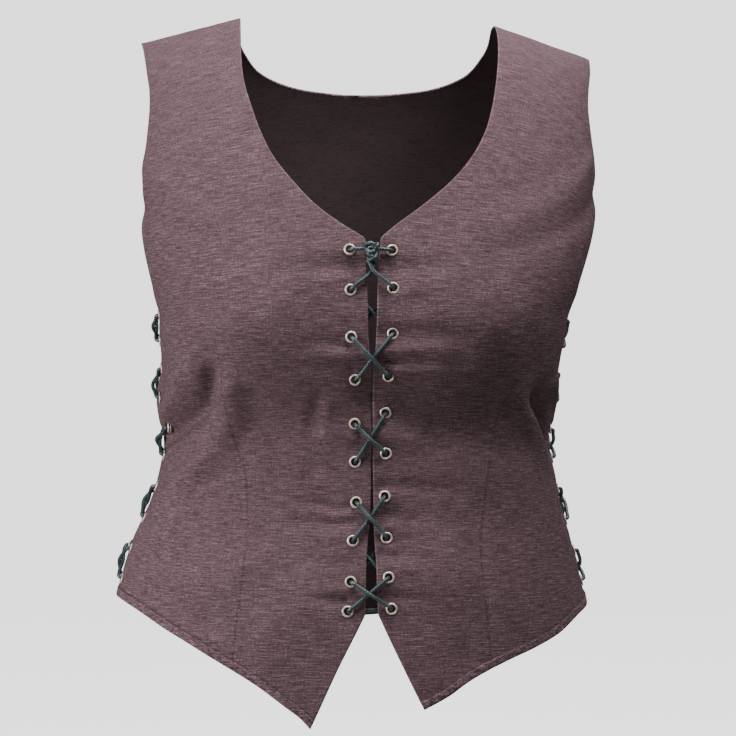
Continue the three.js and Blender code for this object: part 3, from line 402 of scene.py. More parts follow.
def cloth_place(angle, level):
    """Middle of the cloth and its outward direction: the form's point moved out along
    the cross product of its slopes by the folds and a slight unevenness."""
    top = np.minimum(level, RIGHT_ANGLE)
    point = form_place(angle, top)
    step = 0.004
    upper = np.minimum(top + step, RIGHT_ANGLE)
    around = form_place(angle + step, top) - form_place(angle - step, top)
    up = form_place(angle, upper) - form_place(angle, upper - 2 * step)
    out = np.cross(around, up)
    on_ridge = top > RIGHT_ANGLE - 1e-6
    ridge_out = np.stack([-around[..., 2], np.zeros_like(top), around[..., 0]], -1)
    ridge_out = ridge_out * np.where(ridge_out[..., 2:] < 0, -1.0, 1.0)
    out = unit(np.where(on_ridge[..., None], ridge_out, out))
    height = point[..., 2]
    s = angle * TURN_RADIUS
    uneven = np.sin(s / 13.0 + height / 31.0 + 1.3) * np.sin(height / 17.0 - s / 43.0)
    uneven = uneven + 0.6 * np.sin(s / 7.1 - height / 12.3) * np.sin(height / 9.7 + s / 23.0 + 0.7)
    rise = fold_rise(angle, height, LARGE_FOLDS) + fold_rise(angle, height, FINE_FOLDS)
    rise = rise + UNEVEN_RISE * uneven
    return point + out * rise[..., None], out


def level_of(angle, height):
    """Level of a height at an angle, by repeating the ring and the ridge height."""
    rise = np.zeros(np.broadcast(angle, height).shape)
    table_height = np.maximum(height, BUST_HEIGHT)
    for _ in range(24):
        sideways, _forward = unit_place(angle, section("square", table_height))
        span = ridge_height(sideways) - BUST_HEIGHT
        rise = np.clip((height - BUST_HEIGHT) / span, 0.0, 1.0)
        table_height = BUST_HEIGHT * (1.0 - rise)
    arch = np.arctan2(rise, (1.0 - rise**FRONT_ARCH) ** (1.0 / FRONT_ARCH))
    return np.where(height <= BUST_HEIGHT, 1.0 - height / BUST_HEIGHT, arch)


def place_rows(rows):
    """Angles and levels of rows of a measure and a height in mm. The measure is across
    the front, unless the row opens with "turn", for degrees, or "behind"."""
    kind = np.array([row[0] if len(row) == 3 else "across" for row in rows])
    measure, height = np.array([row[-2:] for row in rows], float).T
    angle = np.radians(np.where(kind == "turn", measure, 0.0))
    behind = kind == "behind"
    table_height = np.minimum(height, 0.0)
    for _ in range(24):
        power = section("square", table_height)
        reach = (measure - section("centre", table_height)) / section("half", table_height)
        sideways = np.clip(reach, -0.999, 0.999)
        forward = (1.0 - np.abs(sideways) ** power) ** (1.0 / power)
        found = np.arctan2(sideways, np.where(behind, -forward, forward))
        angle = np.where(kind == "turn", angle, found)
        level = level_of(angle, height)
        rise = unit_place(np.maximum(level, 0.0), FRONT_ARCH)[0]
        table_height = np.where(level < 0, height, BUST_HEIGHT * (1.0 - rise))
    return np.where(behind & (angle < 0), angle + 2 * np.pi, angle), level


def walked(points):
    """Length walked along a line at each of its points."""
    steps = np.linalg.norm(np.diff(points, axis=0), axis=-1)
    return np.concatenate(([0.0], np.cumsum(steps)))


def edge_run(rows, start, end):
    """A smooth run through rows, shared out from start to end by its length."""
    angle, level = place_rows(rows)
    lengths = walked(np.stack([angle * TURN_RADIUS, level * BUST_HEIGHT], -1))
    return start + (end - start) * lengths / lengths[-1], angle, level


def along_edge(runs, share):
    """Angles and levels at shares of a chain of runs."""
    angle = np.zeros_like(share)
    level = np.zeros_like(share)
    done = np.zeros(share.shape, bool)
    for keys, angles, levels in runs:
        mine = ~done & (share <= keys[-1] + 1e-9)
        angle[mine] = follow(keys, angles, share[mine])
        level[mine] = follow(keys, levels, share[mine])
        done |= mine
    return np.stack([angle, level])


def patch_places(edges, columns, rows):
    """Four-sided patch: the two blends of opposite edges less the blend of corners."""
    inner = along_edge(edges["inner"], rows)[:, :, None]
    outer = along_edge(edges["outer"], rows)[:, :, None]
    bottom = along_edge(edges["bottom"], columns)[:, None, :]
    top = along_edge(edges["top"], columns)[:, None, :]
    u = columns[None, None, :]
    v = rows[None, :, None]
    corners = inner[:, :1] * (1 - u) * (1 - v) + outer[:, :1] * u * (1 - v)
    corners = corners + inner[:, -1:] * (1 - u) * v + outer[:, -1:] * u * v
    angle, level = inner * (1 - u) + outer * u + bottom * (1 - v) + top * v - corners
    return angle, np.minimum(level, RIGHT_ANGLE)


def edge_shares(count):
    """Even shares with three close steps at each end, where the cloth turns over."""
    close = np.array([0.0, 0.0022, 0.006])
    return np.concatenate((close, np.linspace(0.013, 0.987, count), 1.0 - close[::-1]))


def distance_to_line(points, line):
    """Least distance from each point to the straight pieces of a line, in blocks."""
    flat = points.reshape(-1, 3)
    starts, runs = line[:-1], np.diff(line, axis=0)
    squares = np.maximum((runs**2).sum(-1), 1e-12)
    least = []
    for block in np.array_split(flat, max(1, len(flat) // 4000)):
        offset = block[:, None] - starts[None]
        part = np.clip((offset * runs[None]).sum(-1) / squares, 0.0, 1.0)
        away = offset - part[..., None] * runs[None]
        least.append(np.sqrt((away**2).sum(-1)).min(1))
    return np.concatenate(least).reshape(points.shape[:-1])


# Cloth thickness and the turned hem and edges, in mm.
CLOTH_OUT = 1.0
CLOTH_THICK = 1.7
HEM_WIDTH = 6.8
HEM_RAISE = 0.8
HEM_STITCH_INSET = HEM_WIDTH - 1.2
EDGE_ROLL = 1.3
EDGE_DROP = 0.75

# Round an eyelet: its hole's radius, the dimple's depth and width, and the ripple's
# height, its distance from the middle, its width and its waves in a turn, in mm.
EYELET_CUT = 3.8
DIMPLE_DEPTH = 0.45
DIMPLE_WIDTH = 7.5
RIPPLE_HEIGHT = 0.22
RIPPLE_AT = 9.5
RIPPLE_WIDTH = 4.0
RIPPLE_WAVES = 5.0

# The cloth's slight unevenness all over, in mm.
UNEVEN_RISE = 0.28

# Shares of a front's height at the top of its slit, the foot of its neckline and its
# underarm.
SLIT_SHARE = 0.2
NECK_SHARE = 0.62
UNDERARM_SHARE = 0.53

# Outlines and eyelets: rows of mm across the front and height, or of degrees round and
# height where they open with "turn". Darts are rows of degrees and height.
FRONTS = {
    "front_right": {
        "sign": -1,
        "slit": ((-51.5, -597), (-27.5, -546), (-5.1, -502)),
        "edge": (
            (-5.1, -502), (-4.6, -482), (-3.8, -457), (-1.5, -432), (0.7, -390), (0.7, -340),
            (-0.5, -293), (-2.4, -272), (-3.4, -231), (-4.2, -197), (-5.0, -187),
        ),
        "neckline": (
            (-5.0, -187), (-19, -178.5), (-46.5, -158), (-65.5, -137), (-81, -116), (-91, -95),
            (-98, -74), (-104, -52), (-106.5, -29), (-106.5, -10), (-106, 20),
        ),
        "hem": (
            (-51.5, -597), (-60, -588), (-72, -579), (-98, -560), (-130, -541), (-164, -522),
            (-193, -505), (-208, -498), ("turn", -87, -496),
        ),
        "laced": (
            ("turn", -87, -496), ("turn", -87, -455), ("turn", -86.5, -364), ("turn", -87, -290),
            ("turn", -87, -236),
        ),
        "armhole": (
            ("turn", -87, -236), ("turn", -79, -229), (-185, -212), (-189, -195), (-192, -174),
            (-191.5, -154), (-190.5, -122), (-187.5, -91), (-186, -63), (-187, -48), (-190.5, -25),
            (-194, 20),
        ),
        "eyelets": (
            (-18, -197.5), (-17.5, -231), (-17, -270), (-13.5, -306), (-13.2, -343), (-12.8, -375),
            (-12, -409), (-15.2, -441), (-17.4, -475), (-20, -499.5),
        ),
        "side_heights": (-249, -272, -296, -322, -348, -373, -400, -428, -455, -481),
        "dart": (
            (-40.5, -297), (-39.4, -327), (-37.3, -362), (-34.1, -385), (-32.4, -406), (-30.3, -432),
            (-29.1, -457), (-28.7, -480), (-28.7, -504), (-28.4, -548),
        ),
    },
    "front_left": {
        "sign": 1,
        "slit": ((43.8, -582), (26, -546), (5.4, -502)),
        "edge": (
            (5.4, -502), (4.6, -482), (4.1, -457), (2.6, -432), (2.3, -390), (2.1, -340), (2.4, -293),
            (3.8, -272), (4.9, -231), (7.0, -197), (8.2, -187),
        ),
        "neckline": (
            (8.2, -187), (18, -178.5), (45.5, -158), (70, -137), (88, -116), (100.5, -94), (108, -72),
            (113, -50), (117, -27), (119.5, -7), (120, 20),
        ),
        "hem": (
            (43.8, -582), (66, -570.5), (80, -561), (117, -543), (141, -534), (162, -525), (184, -511),
            (197, -505), ("turn", 87, -500),
        ),
        "laced": (
            ("turn", 87, -500), ("turn", 87, -457), ("turn", 86.5, -364), ("turn", 87, -290),
            ("turn", 87, -240),
        ),
        "armhole": (
            ("turn", 87, -240), ("turn", 79, -233), (183, -218), (189, -204), (197, -184), (203, -162),
            (204.5, -130), (202, -98), (200, -66), (202, -49), (205, -33), (206.5, 20),
        ),
        "eyelets": (
            (17.5, -198), (18.1, -229.5), (18, -267), (14.7, -303), (13, -334.5), (13.2, -368),
            (12.2, -404), (13.4, -438.5), (14.6, -471.5), (17, -497.5),
        ),
        "side_heights": (-253, -277, -300, -325, -350, -376, -403, -431, -458, -485),
        "dart": (
            (41.0, -302), (39.6, -330), (37.0, -364), (34.6, -388), (33.0, -409), (31.2, -434),
            (30.0, -459), (29.5, -482), (29.4, -506), (29.0, -546),
        ),
    },
}
# Side eyelets' distance from the edge, along the cloth.
SIDE_EYELET_INSET = 13.0


def shoulder_run(table):
    """Straight along the shoulder line from the neck point to the tip."""
    ends = [place_rows(table[edge][-1:])[0][0] for edge in ("neckline", "armhole")]
    return np.array([0.0, 1.0]), np.array(ends), np.array([RIGHT_ANGLE, RIGHT_ANGLE])


def front_edges(table):
    """The four edges of a front: opening side, outer side, hem and shoulder."""
    return {
        "inner": (
            edge_run(table["slit"], 0.0, SLIT_SHARE),
            edge_run(table["edge"], SLIT_SHARE, NECK_SHARE),
            edge_run(table["neckline"], NECK_SHARE, 1.0),
        ),
        "outer": (
            edge_run(table["laced"][:2], 0.0, SLIT_SHARE),
            edge_run(table["laced"][1:], SLIT_SHARE, UNDERARM_SHARE),
            edge_run(table["armhole"], UNDERARM_SHARE, 1.0),
        ),
        "bottom": (edge_run(table["hem"], 0.0, 1.0),),
        "top": (shoulder_run(table),),
    }


def spots_at(rows):
    """Middle of the cloth, outward direction and angle at table rows."""
    angle, level = place_rows(rows)
    point, out = cloth_place(angle, level)
    return {"point": point, "out": out, "angle": angle}


def spots_beside(laced, heights, direction):
    """Places a set length along the cloth from a side edge: the length is summed along
    a fine arc at each height and read where it reaches the inset."""
    laced = sorted(laced, key=lambda row: row[2])
    edge_height = np.array([row[2] for row in laced], float)
    edge_turn = np.array([row[1] for row in laced], float)
    heights = np.array(heights, float)
    start = np.radians(follow(edge_height, edge_turn, heights))
    angle = start[:, None] + direction * np.linspace(0.0, 0.2, 160)[None]
    level = level_of(angle, np.broadcast_to(heights[:, None], angle.shape))
    arcs = cloth_place(angle, level)[0]
    turns = [np.interp(SIDE_EYELET_INSET, walked(arc), row) for arc, row in zip(arcs, angle)]
    return spots_at([("turn", np.degrees(turn), height) for turn, height in zip(turns, heights)])


def joined_spots(groups):
    """Several groups of spots as one."""
    return {key: np.concatenate([group[key] for group in groups]) for key in groups[0]}


def cloth_surface(angle, level, roll_lines_of, spots):
    """Outer face of a panel from its grid. The cloth is raised over the turned hem,
    rolled over at its finished edges by a quarter circle, and dimpled under each
    eyelet by a bell with a slight ripple round it. Points inside an eyelet's hole are
    moved out to its circle."""
    middle, out = cloth_place(angle, level)
    hem = distance_to_line(middle, middle[0])
    roll = np.minimum.reduce([distance_to_line(middle, line) for line in roll_lines_of(middle)])
    roll = np.minimum(roll, hem)
    rise = CLOTH_OUT + HEM_RAISE * (1.0 - smooth_step(HEM_WIDTH - 0.3, HEM_WIDTH + 0.7, hem))
    over = np.clip(1.0 - roll / EDGE_ROLL, 0.0, 1.0)
    rise = rise - EDGE_DROP * (1.0 - np.sqrt(1.0 - over**2))
    warp = np.zeros_like(middle)
    cut = np.full(hem.shape, np.inf)
    for point, direction in zip(spots["point"], spots["out"]):
        offset = middle - point
        offset = offset - (offset @ direction)[..., None] * direction
        away = np.linalg.norm(offset, axis=-1)
        ripple = np.sin(RIPPLE_WAVES * np.arctan2(offset[..., 2], offset[..., 0]) + point[2])
        ripple = ripple * np.exp(-(((away - RIPPLE_AT) / RIPPLE_WIDTH) ** 2))
        rise = rise - DIMPLE_DEPTH * np.exp(-((away / DIMPLE_WIDTH) ** 2)) + RIPPLE_HEIGHT * ripple
        pull = np.maximum(EYELET_CUT - away, 0.0)
        warp = warp + offset / np.maximum(away, 1e-6)[..., None] * pull[..., None]
        cut = np.minimum(cut, away)
    return middle + warp + out * rise[..., None], hem, roll, cut


# The dart's seam dies away over this height below its point.
DART_FADE = 28.0


def dart_offset(angle, level, dart):
    """Signed distance across the dart seam: unrolled distance to its line, which is a
    smooth run of turns with height, made longer by a square of the height over the last
    stretch so that the seam dies away at its point."""
    height = form_place(angle, level)[..., 2]
    turns, heights = np.array(dart, float)[::-1].T
    line = np.radians(follow(heights, turns, height)) * TURN_RADIUS
    above = (np.maximum(height - heights[-1] + DART_FADE, 0.0) / DART_FADE) ** 2 * 2.5
    side = angle * TURN_RADIUS - line
    return np.where(side < 0, -1.0, 1.0) * np.hypot(side, above)


def grid_faces(wide, high):
    """Quads of a grid in rows, wide points by high points."""
    start = (np.arange(high - 1)[:, None] * wide + np.arange(wide - 1)[None]).ravel()
    return np.stack([start, start + 1, start + wide + 1, start + wide], -1)


def panel_grid(edges, columns, rows, roll_lines_of, spots, turned):
    """A panel's grid between its edges: places, outer face, distances to the hem and to
    any finished edge, grain, and the quads that no eyelet's hole takes out."""
    angle, level = patch_places(edges, columns, rows)
    outer, hem, roll, cut = cloth_surface(angle, level, roll_lines_of, spots)
    quads = grid_faces(len(columns), len(rows))
    quads = quads[cut.ravel()[quads].max(1) > EYELET_CUT]
    return {
        "angle": angle,
        "level": level,
        "outer": outer,
        "hem": hem,
        "edge": roll,
        "grain": np.stack([angle * TURN_RADIUS, level * -BUST_HEIGHT], -1),
        "quads": quads[:, ::-1] if turned else quads,
    }


def cloth_mesh(name, points, faces, grain, marks):
    """A mesh in metres with its grain map in metres and its marks as vertex values,
    without the points that no face uses."""
    used = np.unique(faces)
    renumber = np.zeros(len(points), int)
    renumber[used] = np.arange(len(used))
    mesh = smooth_mesh(name, points[used] * MM, renumber[faces].tolist())
    grain_map = mesh.uv_layers.new(name="grain")
    corner = np.zeros(len(mesh.loops), int)
    mesh.loops.foreach_get("vertex_index", corner)
    grain_map.data.foreach_set("uv", (grain[used] * MM)[corner].ravel())
    for mark, values in marks.items():
        layer = mesh.attributes.new(mark, "FLOAT", "POINT")
        layer.data.foreach_set("value", values[used].astype(np.float32))
    mesh.update()
    return mesh


def show(name, mesh, materials, replaced=()):
    """An object at the origin that rides on the one body and hides the imported parts it stands in for.
    """
    for material in materials:
        mesh.materials.append(material)
    piece = bpy.data.objects.new(name, mesh)
    bpy.context.scene.collection.objects.link(piece)
    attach(piece, "root")
    if replaced:
        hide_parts(*replaced)
    return piece


def thicken(piece):
    """Gives a panel its thickness inward from the outer face, lined on the inside."""
    wall = piece.modifiers.new("cloth thickness", "SOLIDIFY")
    wall.thickness = CLOTH_THICK * MM
    wall.offset = -1.0
    wall.use_even_offset = True
    wall.material_offset = 1
    wall.material_offset_rim = 0


# Cloth colours, linear. The lining's are far darker than the cloth's: painted shade for
# the shaded inside of the vest.
PLUM_DARK = (0.043, 0.021, 0.025, 1.0)
PLUM_MID = (0.095, 0.057, 0.065, 1.0)
PLUM_LIGHT = (0.205, 0.139, 0.153, 1.0)
LINING_SHADED_DARK = (0.013, 0.008, 0.009, 1.0)
LINING_SHADED_LIGHT = (0.034, 0.022, 0.024, 1.0)


def stretched_noise(tree, place, scale, detail, seed):
    """Noise along the map with its own scale each way, one seed apart from another."""
    mapping = add_node(
        tree,
        "ShaderNodeMapping",
        Vector=place,
        Location=(seed, seed * 0.37, 0.0),
        Scale=(scale[0], scale[1], 1.0),
    )
    noise = add_node(
        tree,
        "ShaderNodeTexNoise",
        noise_dimensions="2D",
        Vector=mapping.outputs["Vector"],
        Scale=1.0,
        Detail=detail,
        Roughness=0.55,
    )
    return noise.outputs["Fac"]


def clipped(tree, value):
    """A value kept between nought and one."""
    return add_maths(tree, "MINIMUM", add_maths(tree, "MAXIMUM", value, 0.0), 1.0)


def near_line(tree, distance, centre, half):
    """One on the line at the centre distance, falling straight to nought at half."""
    away = add_maths(tree, "ABSOLUTE", add_maths(tree, "SUBTRACT", distance, centre))
    near = add_maths(tree, "SUBTRACT", 1.0, add_maths(tree, "DIVIDE", away, half))
    return add_maths(tree, "MAXIMUM", near, 0.0)


def start_group(name, inputs, outputs):
    """A node group with its sockets, its input node and its output node."""
    group = bpy.data.node_groups.new(name, "ShaderNodeTree")
    for in_out, sockets in (("INPUT", inputs), ("OUTPUT", outputs)):
        for socket, kind in sockets.items():
            group.interface.new_socket(socket, in_out=in_out, socket_type="NodeSocket" + kind)
    return group, group.nodes.new("NodeGroupInput"), group.nodes.new("NodeGroupOutput")


# Noises of the weave: scale across and up in waves a metre, detail, seed and share of
# the tone.
WEAVE_NOISES = {
    "slub": (70.0, 900.0, 2.0, 3.1, 0.38),
    "weft": (200.0, 1300.0, 1.0, 7.7, 0.30),
    "warp": (1100.0, 130.0, 1.0, 5.3, 0.15),
    "speck": (800.0, 950.0, 1.0, 9.2, 0.20),
    "patch": (30.0, 60.0, 2.0, 1.9, 0.07),
}
# Radians a metre of the threads' over and under, and how far they sway in metres.
WEFT_WAVES = 7400.0
WARP_WAVES = 6900.0
THREAD_SWAY = 0.0022
# A nub is where speck and slub, mixed by this share of the speck, pass the level.
NUB_SPECK = 0.6
NUB_LEVEL = 0.57
NUB_SHARPNESS = 12.0


def make_slub_weave():
    """Plain weave with slubs, from a map in metres. Its tone sums noises drawn out
    along the weft and the warp, a fine even one and a broad one; nubs are the peaks of
    the fine one on a slub; its height adds the over and under of the threads, a product
    of sines."""
    group, source, target = start_group(
        "slub_weave", {"Map": "Vector"}, {"Tone": "Float", "Nub": "Float", "Height": "Float"}
    )
    sway = add_node(group, "ShaderNodeTexNoise", Vector=source.outputs["Map"], Scale=26.0, Detail=1.0)
    bend = add_node(group, "ShaderNodeVectorMath", operation="MULTIPLY_ADD")
    bend.inputs[1].default_value = (THREAD_SWAY, THREAD_SWAY, 0.0)
    group.links.new(sway.outputs["Color"], bend.inputs[0])
    group.links.new(source.outputs["Map"], bend.inputs[2])
    place = bend.outputs["Vector"]
    noises, tone = {}, 0.0
    for name, (across, up, detail, seed, share) in WEAVE_NOISES.items():
        noises[name] = stretched_noise(group, place, (across, up), detail, seed)
        tone = add_maths(group, "MULTIPLY_ADD", noises[name], share, tone)
    nub = add_maths(group, "MULTIPLY", noises["slub"], 1.0 - NUB_SPECK)
    nub = add_maths(group, "MULTIPLY_ADD", noises["speck"], NUB_SPECK, nub)
    nub = add_maths(group, "MULTIPLY", add_maths(group, "SUBTRACT", nub, NUB_LEVEL), NUB_SHARPNESS)
    nub = clipped(group, nub)
    split = add_node(group, "ShaderNodeSeparateXYZ", Vector=place)
    weft_wave = add_maths(group, "SINE", add_maths(group, "MULTIPLY", split.outputs[0], WEFT_WAVES))
    warp_wave = add_maths(group, "SINE", add_maths(group, "MULTIPLY", split.outputs[1], WARP_WAVES))
    threads = add_maths(group, "MULTIPLY", weft_wave, warp_wave)
    height = add_maths(group, "MULTIPLY_ADD", threads, 0.10, tone)
    height = add_maths(group, "MULTIPLY_ADD", nub, 0.30, height)
    for socket, value in (("Tone", tone), ("Nub", nub), ("Height", height)):
        group.links.new(value, target.inputs[socket])
    return group


# Sewn places in mm: distance of the painted shadow under the hem's edge and its half
# width, half widths of the painted shade in the stitches' groove and of the dart's line,
# the distance and width of the painted highlight on the dart's lip, and the distance and
# half width of the pale painted highlight along every finished edge's roll.
HEM_SHADOW = (HEM_WIDTH + 0.9, 1.3)
STITCH_MARK_HALF = 1.0
DART_HALF = 1.3
DART_LIP_HIGHLIGHT = (-2.6, 1.8)
EDGE_HIGHLIGHT = (0.2, 1.2)


def make_seam_marks():
    """Tone and height of the sewn places, from the distances to the hem, to any finished
    edge and to the dart, in mm: the hem band stands up, is coloured a little lighter and is
    mottled with painted light and shade of its puckers; painted shade darkens the groove
    of its stitches and painted shadow the cloth under its edge; every finished edge has a
    pale painted highlight along its roll; and the dart is a faint broken line with a
    painted highlight on its lip."""
    group, source, target = start_group(
        "seam_marks",
        {"Map": "Vector", "Hem": "Float", "Edge": "Float", "Dart": "Float"},
        {"Tone": "Float", "Height": "Float"},
    )
    hem, dart = source.outputs["Hem"], source.outputs["Dart"]
    pucker = stretched_noise(group, source.outputs["Map"], (330.0, 330.0), 1.0, 4.4)
    broken = stretched_noise(group, source.outputs["Map"], (240.0, 420.0), 1.0, 6.2)
    broken = add_maths(group, "MULTIPLY", add_maths(group, "SUBTRACT", broken, 0.38), 5.0)
    broken = clipped(group, broken)
    band = add_maths(group, "DIVIDE", add_maths(group, "SUBTRACT", HEM_WIDTH + 0.3, hem), 0.6)
    band = clipped(group, band)
    # The hem band is coloured a little lighter and mottled by the pucker noise: painted light and shade
    # of the puckers.
    swing = add_maths(group, "MULTIPLY_ADD", pucker, 2.4, -1.06)
    tone = add_maths(group, "MULTIPLY_ADD", add_maths(group, "MULTIPLY", swing, band), 0.8, 1.0)
    # Pale painted highlight along the roll of every finished edge.
    edge_highlight = near_line(group, source.outputs["Edge"], *EDGE_HIGHLIGHT)
    tone = add_maths(group, "MULTIPLY_ADD", edge_highlight, 0.5, tone)
    # Painted shadow under the hem's edge.
    tone = add_maths(group, "MULTIPLY_ADD", near_line(group, hem, *HEM_SHADOW), -0.45, tone)
    # Painted shade in the groove where the stitches pull the cloth in; the thread itself is lighter than
    # the cloth.
    stitch = near_line(group, hem, HEM_STITCH_INSET, STITCH_MARK_HALF)
    stitch = add_maths(group, "MULTIPLY", stitch, broken)
    tone = add_maths(group, "MULTIPLY_ADD", stitch, -0.45, tone)
    seam = add_maths(group, "MULTIPLY", near_line(group, dart, 0.0, DART_HALF), broken)
    tone = add_maths(group, "MULTIPLY_ADD", seam, -0.38, tone)
    # Painted highlight on the raised lip beside the dart.
    tone = add_maths(group, "MULTIPLY_ADD", near_line(group, dart, *DART_LIP_HIGHLIGHT), 0.10, tone)
    height = add_maths(group, "MULTIPLY_ADD", band, 1.2, add_maths(group, "MULTIPLY", seam, -0.6))
    height = add_maths(group, "MULTIPLY_ADD", stitch, -0.9, height)
    ripple = add_maths(group, "MULTIPLY", add_maths(group, "MULTIPLY", pucker, band), 1.6)
    height = add_maths(group, "ADD", height, ripple)
    group.links.new(tone, target.inputs["Tone"])
    group.links.new(height, target.inputs["Height"])
    return group


slub_weave = make_slub_weave()
seam_marks = make_seam_marks()


def add_ramp(tree, value, stops):
    """The colour at a value of a ramp through stops, each a position and a colour."""
    ramp = add_node(tree, "ShaderNodeValToRGB", Fac=value)
    elements = ramp.color_ramp.elements
    while len(elements) < len(stops):
        elements.new(0.5)
    for element, (position, colour) in zip(elements, stops):
        element.position = position
        element.color = colour
    return ramp.outputs["Color"]


def add_bump(tree, shader, height, strength, distance):
    """Bends the shader's normal by a height."""
    bump = add_node(tree, "ShaderNodeBump", Height=height, Strength=strength, Distance=distance)
    tree.links.new(bump.outputs["Normal"], shader.inputs["Normal"])


def make_cloth(name, dark, mid, light, seams):
    """Dull heathered cloth: a ramp of the weave's tone, lightest on the nubs, times the
    tone of the sewn places, with the heights of both as its bump."""
    material, tree, shader = start_material(name, {"Roughness": 0.92, "Specular IOR Level": 0.12})
    grain = add_node(tree, "ShaderNodeUVMap", uv_map="grain").outputs["UV"]
    weave = add_node(tree, "ShaderNodeGroup", node_tree=slub_weave)
    tree.links.new(grain, weave.inputs["Map"])
    tone = add_maths(tree, "MULTIPLY_ADD", weave.outputs["Nub"], 0.09, weave.outputs["Tone"])
    colour = add_ramp(tree, tone, ((0.36, dark), (0.55, mid), (0.80, light)))
    height = weave.outputs["Height"]
    if seams:
        marks = add_node(tree, "ShaderNodeGroup", node_tree=seam_marks)
        tree.links.new(grain, marks.inputs["Map"])
        for mark in ("hem", "edge", "dart"):
            distance = add_node(tree, "ShaderNodeAttribute", attribute_name=mark)
            tree.links.new(distance.outputs["Fac"], marks.inputs[mark.title()])
        shade = add_node(tree, "ShaderNodeVectorMath", operation="SCALE", Scale=marks.outputs["Tone"])
        tree.links.new(colour, shade.inputs[0])
        colour = shade.outputs["Vector"]
        height = add_maths(tree, "ADD", height, marks.outputs["Height"])
    tree.links.new(colour, shader.inputs["Base Color"])
    add_bump(tree, shader, height, 0.55, 0.0006)
    return material


cloth = make_cloth("plum_linen", PLUM_DARK, PLUM_MID, PLUM_LIGHT, True)
# The lining is the same weave in far darker colours: painted shade for the inside of the vest.
lining = make_cloth("plum_lining_painted_shade", LINING_SHADED_DARK, LINING_SHADED_LIGHT, LINING_SHADED_LIGHT, False)

FRONT_COLUMNS = edge_shares(104)
FRONT_ROWS = edge_shares(292)

# The dart's groove and the ridge beside it: rise, place across the seam and width in mm.
DART_SHAPE = ((-0.45, 0.0, 2.4), (0.30, -3.5, 3.0))

front_eyelets = {}
side_eyelets = {}
front_grids = []
for front_name, front_table in FRONTS.items():
    front_eyelets[front_name] = spots_at(front_table["eyelets"])
    side_eyelets[front_name] = spots_beside(
        front_table["laced"], front_table["side_heights"], -front_table["sign"]
    )
    front_grid = panel_grid(
        front_edges(front_table),
        FRONT_COLUMNS,
        FRONT_ROWS,
        lambda middle: (middle[:, 0], middle[:, -1]),
        joined_spots([front_eyelets[front_name], side_eyelets[front_name]]),
        front_table["sign"] < 0,
    )
    front_grids.append(front_grid)
    dart_away = dart_offset(front_grid["angle"], front_grid["level"], front_table["dart"])
    dart_bend = sum(
        rise * np.exp(-(((dart_away - place) / width) ** 2)) for rise, place, width in DART_SHAPE
    )
    front_out = cloth_place(front_grid["angle"], front_grid["level"])[1]
    front_mesh = cloth_mesh(
        front_name + "_cloth",
        (front_grid["outer"] + front_out * dart_bend[..., None]).reshape(-1, 3),
        front_grid["quads"],
        front_grid["grain"].reshape(-1, 2),
        {"hem": front_grid["hem"].ravel(), "edge": front_grid["edge"].ravel(), "dart": dart_away.ravel()},
    )
    front_piece = show(front_name + "_cloth", front_mesh, (cloth, lining), (front_name,))
    thicken(front_piece)

# Back
# One piece of the same cloth, lined, cut with a shallow scooped neck. It is sewn to the
# fronts at the shoulders and laced to them at both sides, and its hem is turned too.

BACK_HALVES = {
    "left": {
        "centre": (("turn", 180, -531), ("turn", 180, -380), ("turn", 180, -240), ("behind", 7, -44)),
        "neckline": (
            ("behind", 7, -44), ("behind", 15, -43.9), ("behind", 26, -43.6), ("behind", 44, -42.4),
            ("behind", 66, -40), ("behind", 99, -29), ("behind", 115, -12), ("behind", 120, 20),
        ),
        "hem": (("turn", 180, -531), ("turn", 135, -519), ("turn", 95, -500)),
        "laced": (
            ("turn", 95, -500), ("turn", 95, -457), ("turn", 96, -364), ("turn", 95, -290),
            ("turn", 95, -240),
        ),
        "armhole": (
            ("turn", 95, -240), ("turn", 103, -232), ("behind", 184, -208), ("behind", 192, -170),
            ("behind", 193, -120), ("behind", 193, -70), ("behind", 201, -40), ("behind", 206.5, 20),
        ),
    },
    "right": {
        "centre": (("turn", 180, -531), ("turn", 180, -380), ("turn", 180, -240), ("behind", 7, -44)),
        "neckline": (
            ("behind", 7, -44), ("behind", -1, -43.9), ("behind", -12, -43.5), ("behind", -30, -42.0),
            ("behind", -52, -39), ("behind", -85, -27), ("behind", -101, -10), ("behind", -106, 20),
        ),
        "hem": (("turn", 180, -531), ("turn", 225, -518), ("turn", 265, -496)),
        "laced": (
            ("turn", 265, -496), ("turn", 265, -455), ("turn", 264, -364), ("turn", 265, -290),
            ("turn", 265, -236),
        ),
        "armhole": (
            ("turn", 265, -236), ("turn", 257, -228), ("behind", -178, -204), ("behind", -184, -166),
            ("behind", -184, -116), ("behind", -184, -66), ("behind", -189, -34), ("behind", -194, 20),
        ),
    },
}
# Share of the back's length at the foot of its neck scoop and at its underarm.
BACK_SCOOP = 0.8
BACK_UNDERARM = 0.5
BACK_COLUMNS = np.concatenate((np.linspace(0.0, 0.987, 98), edge_shares(1)[-3:]))
BACK_ROWS = edge_shares(178)
back_open_rows = int(np.searchsorted(BACK_ROWS, BACK_SCOOP))
BACK_ROWS[back_open_rows] = BACK_SCOOP

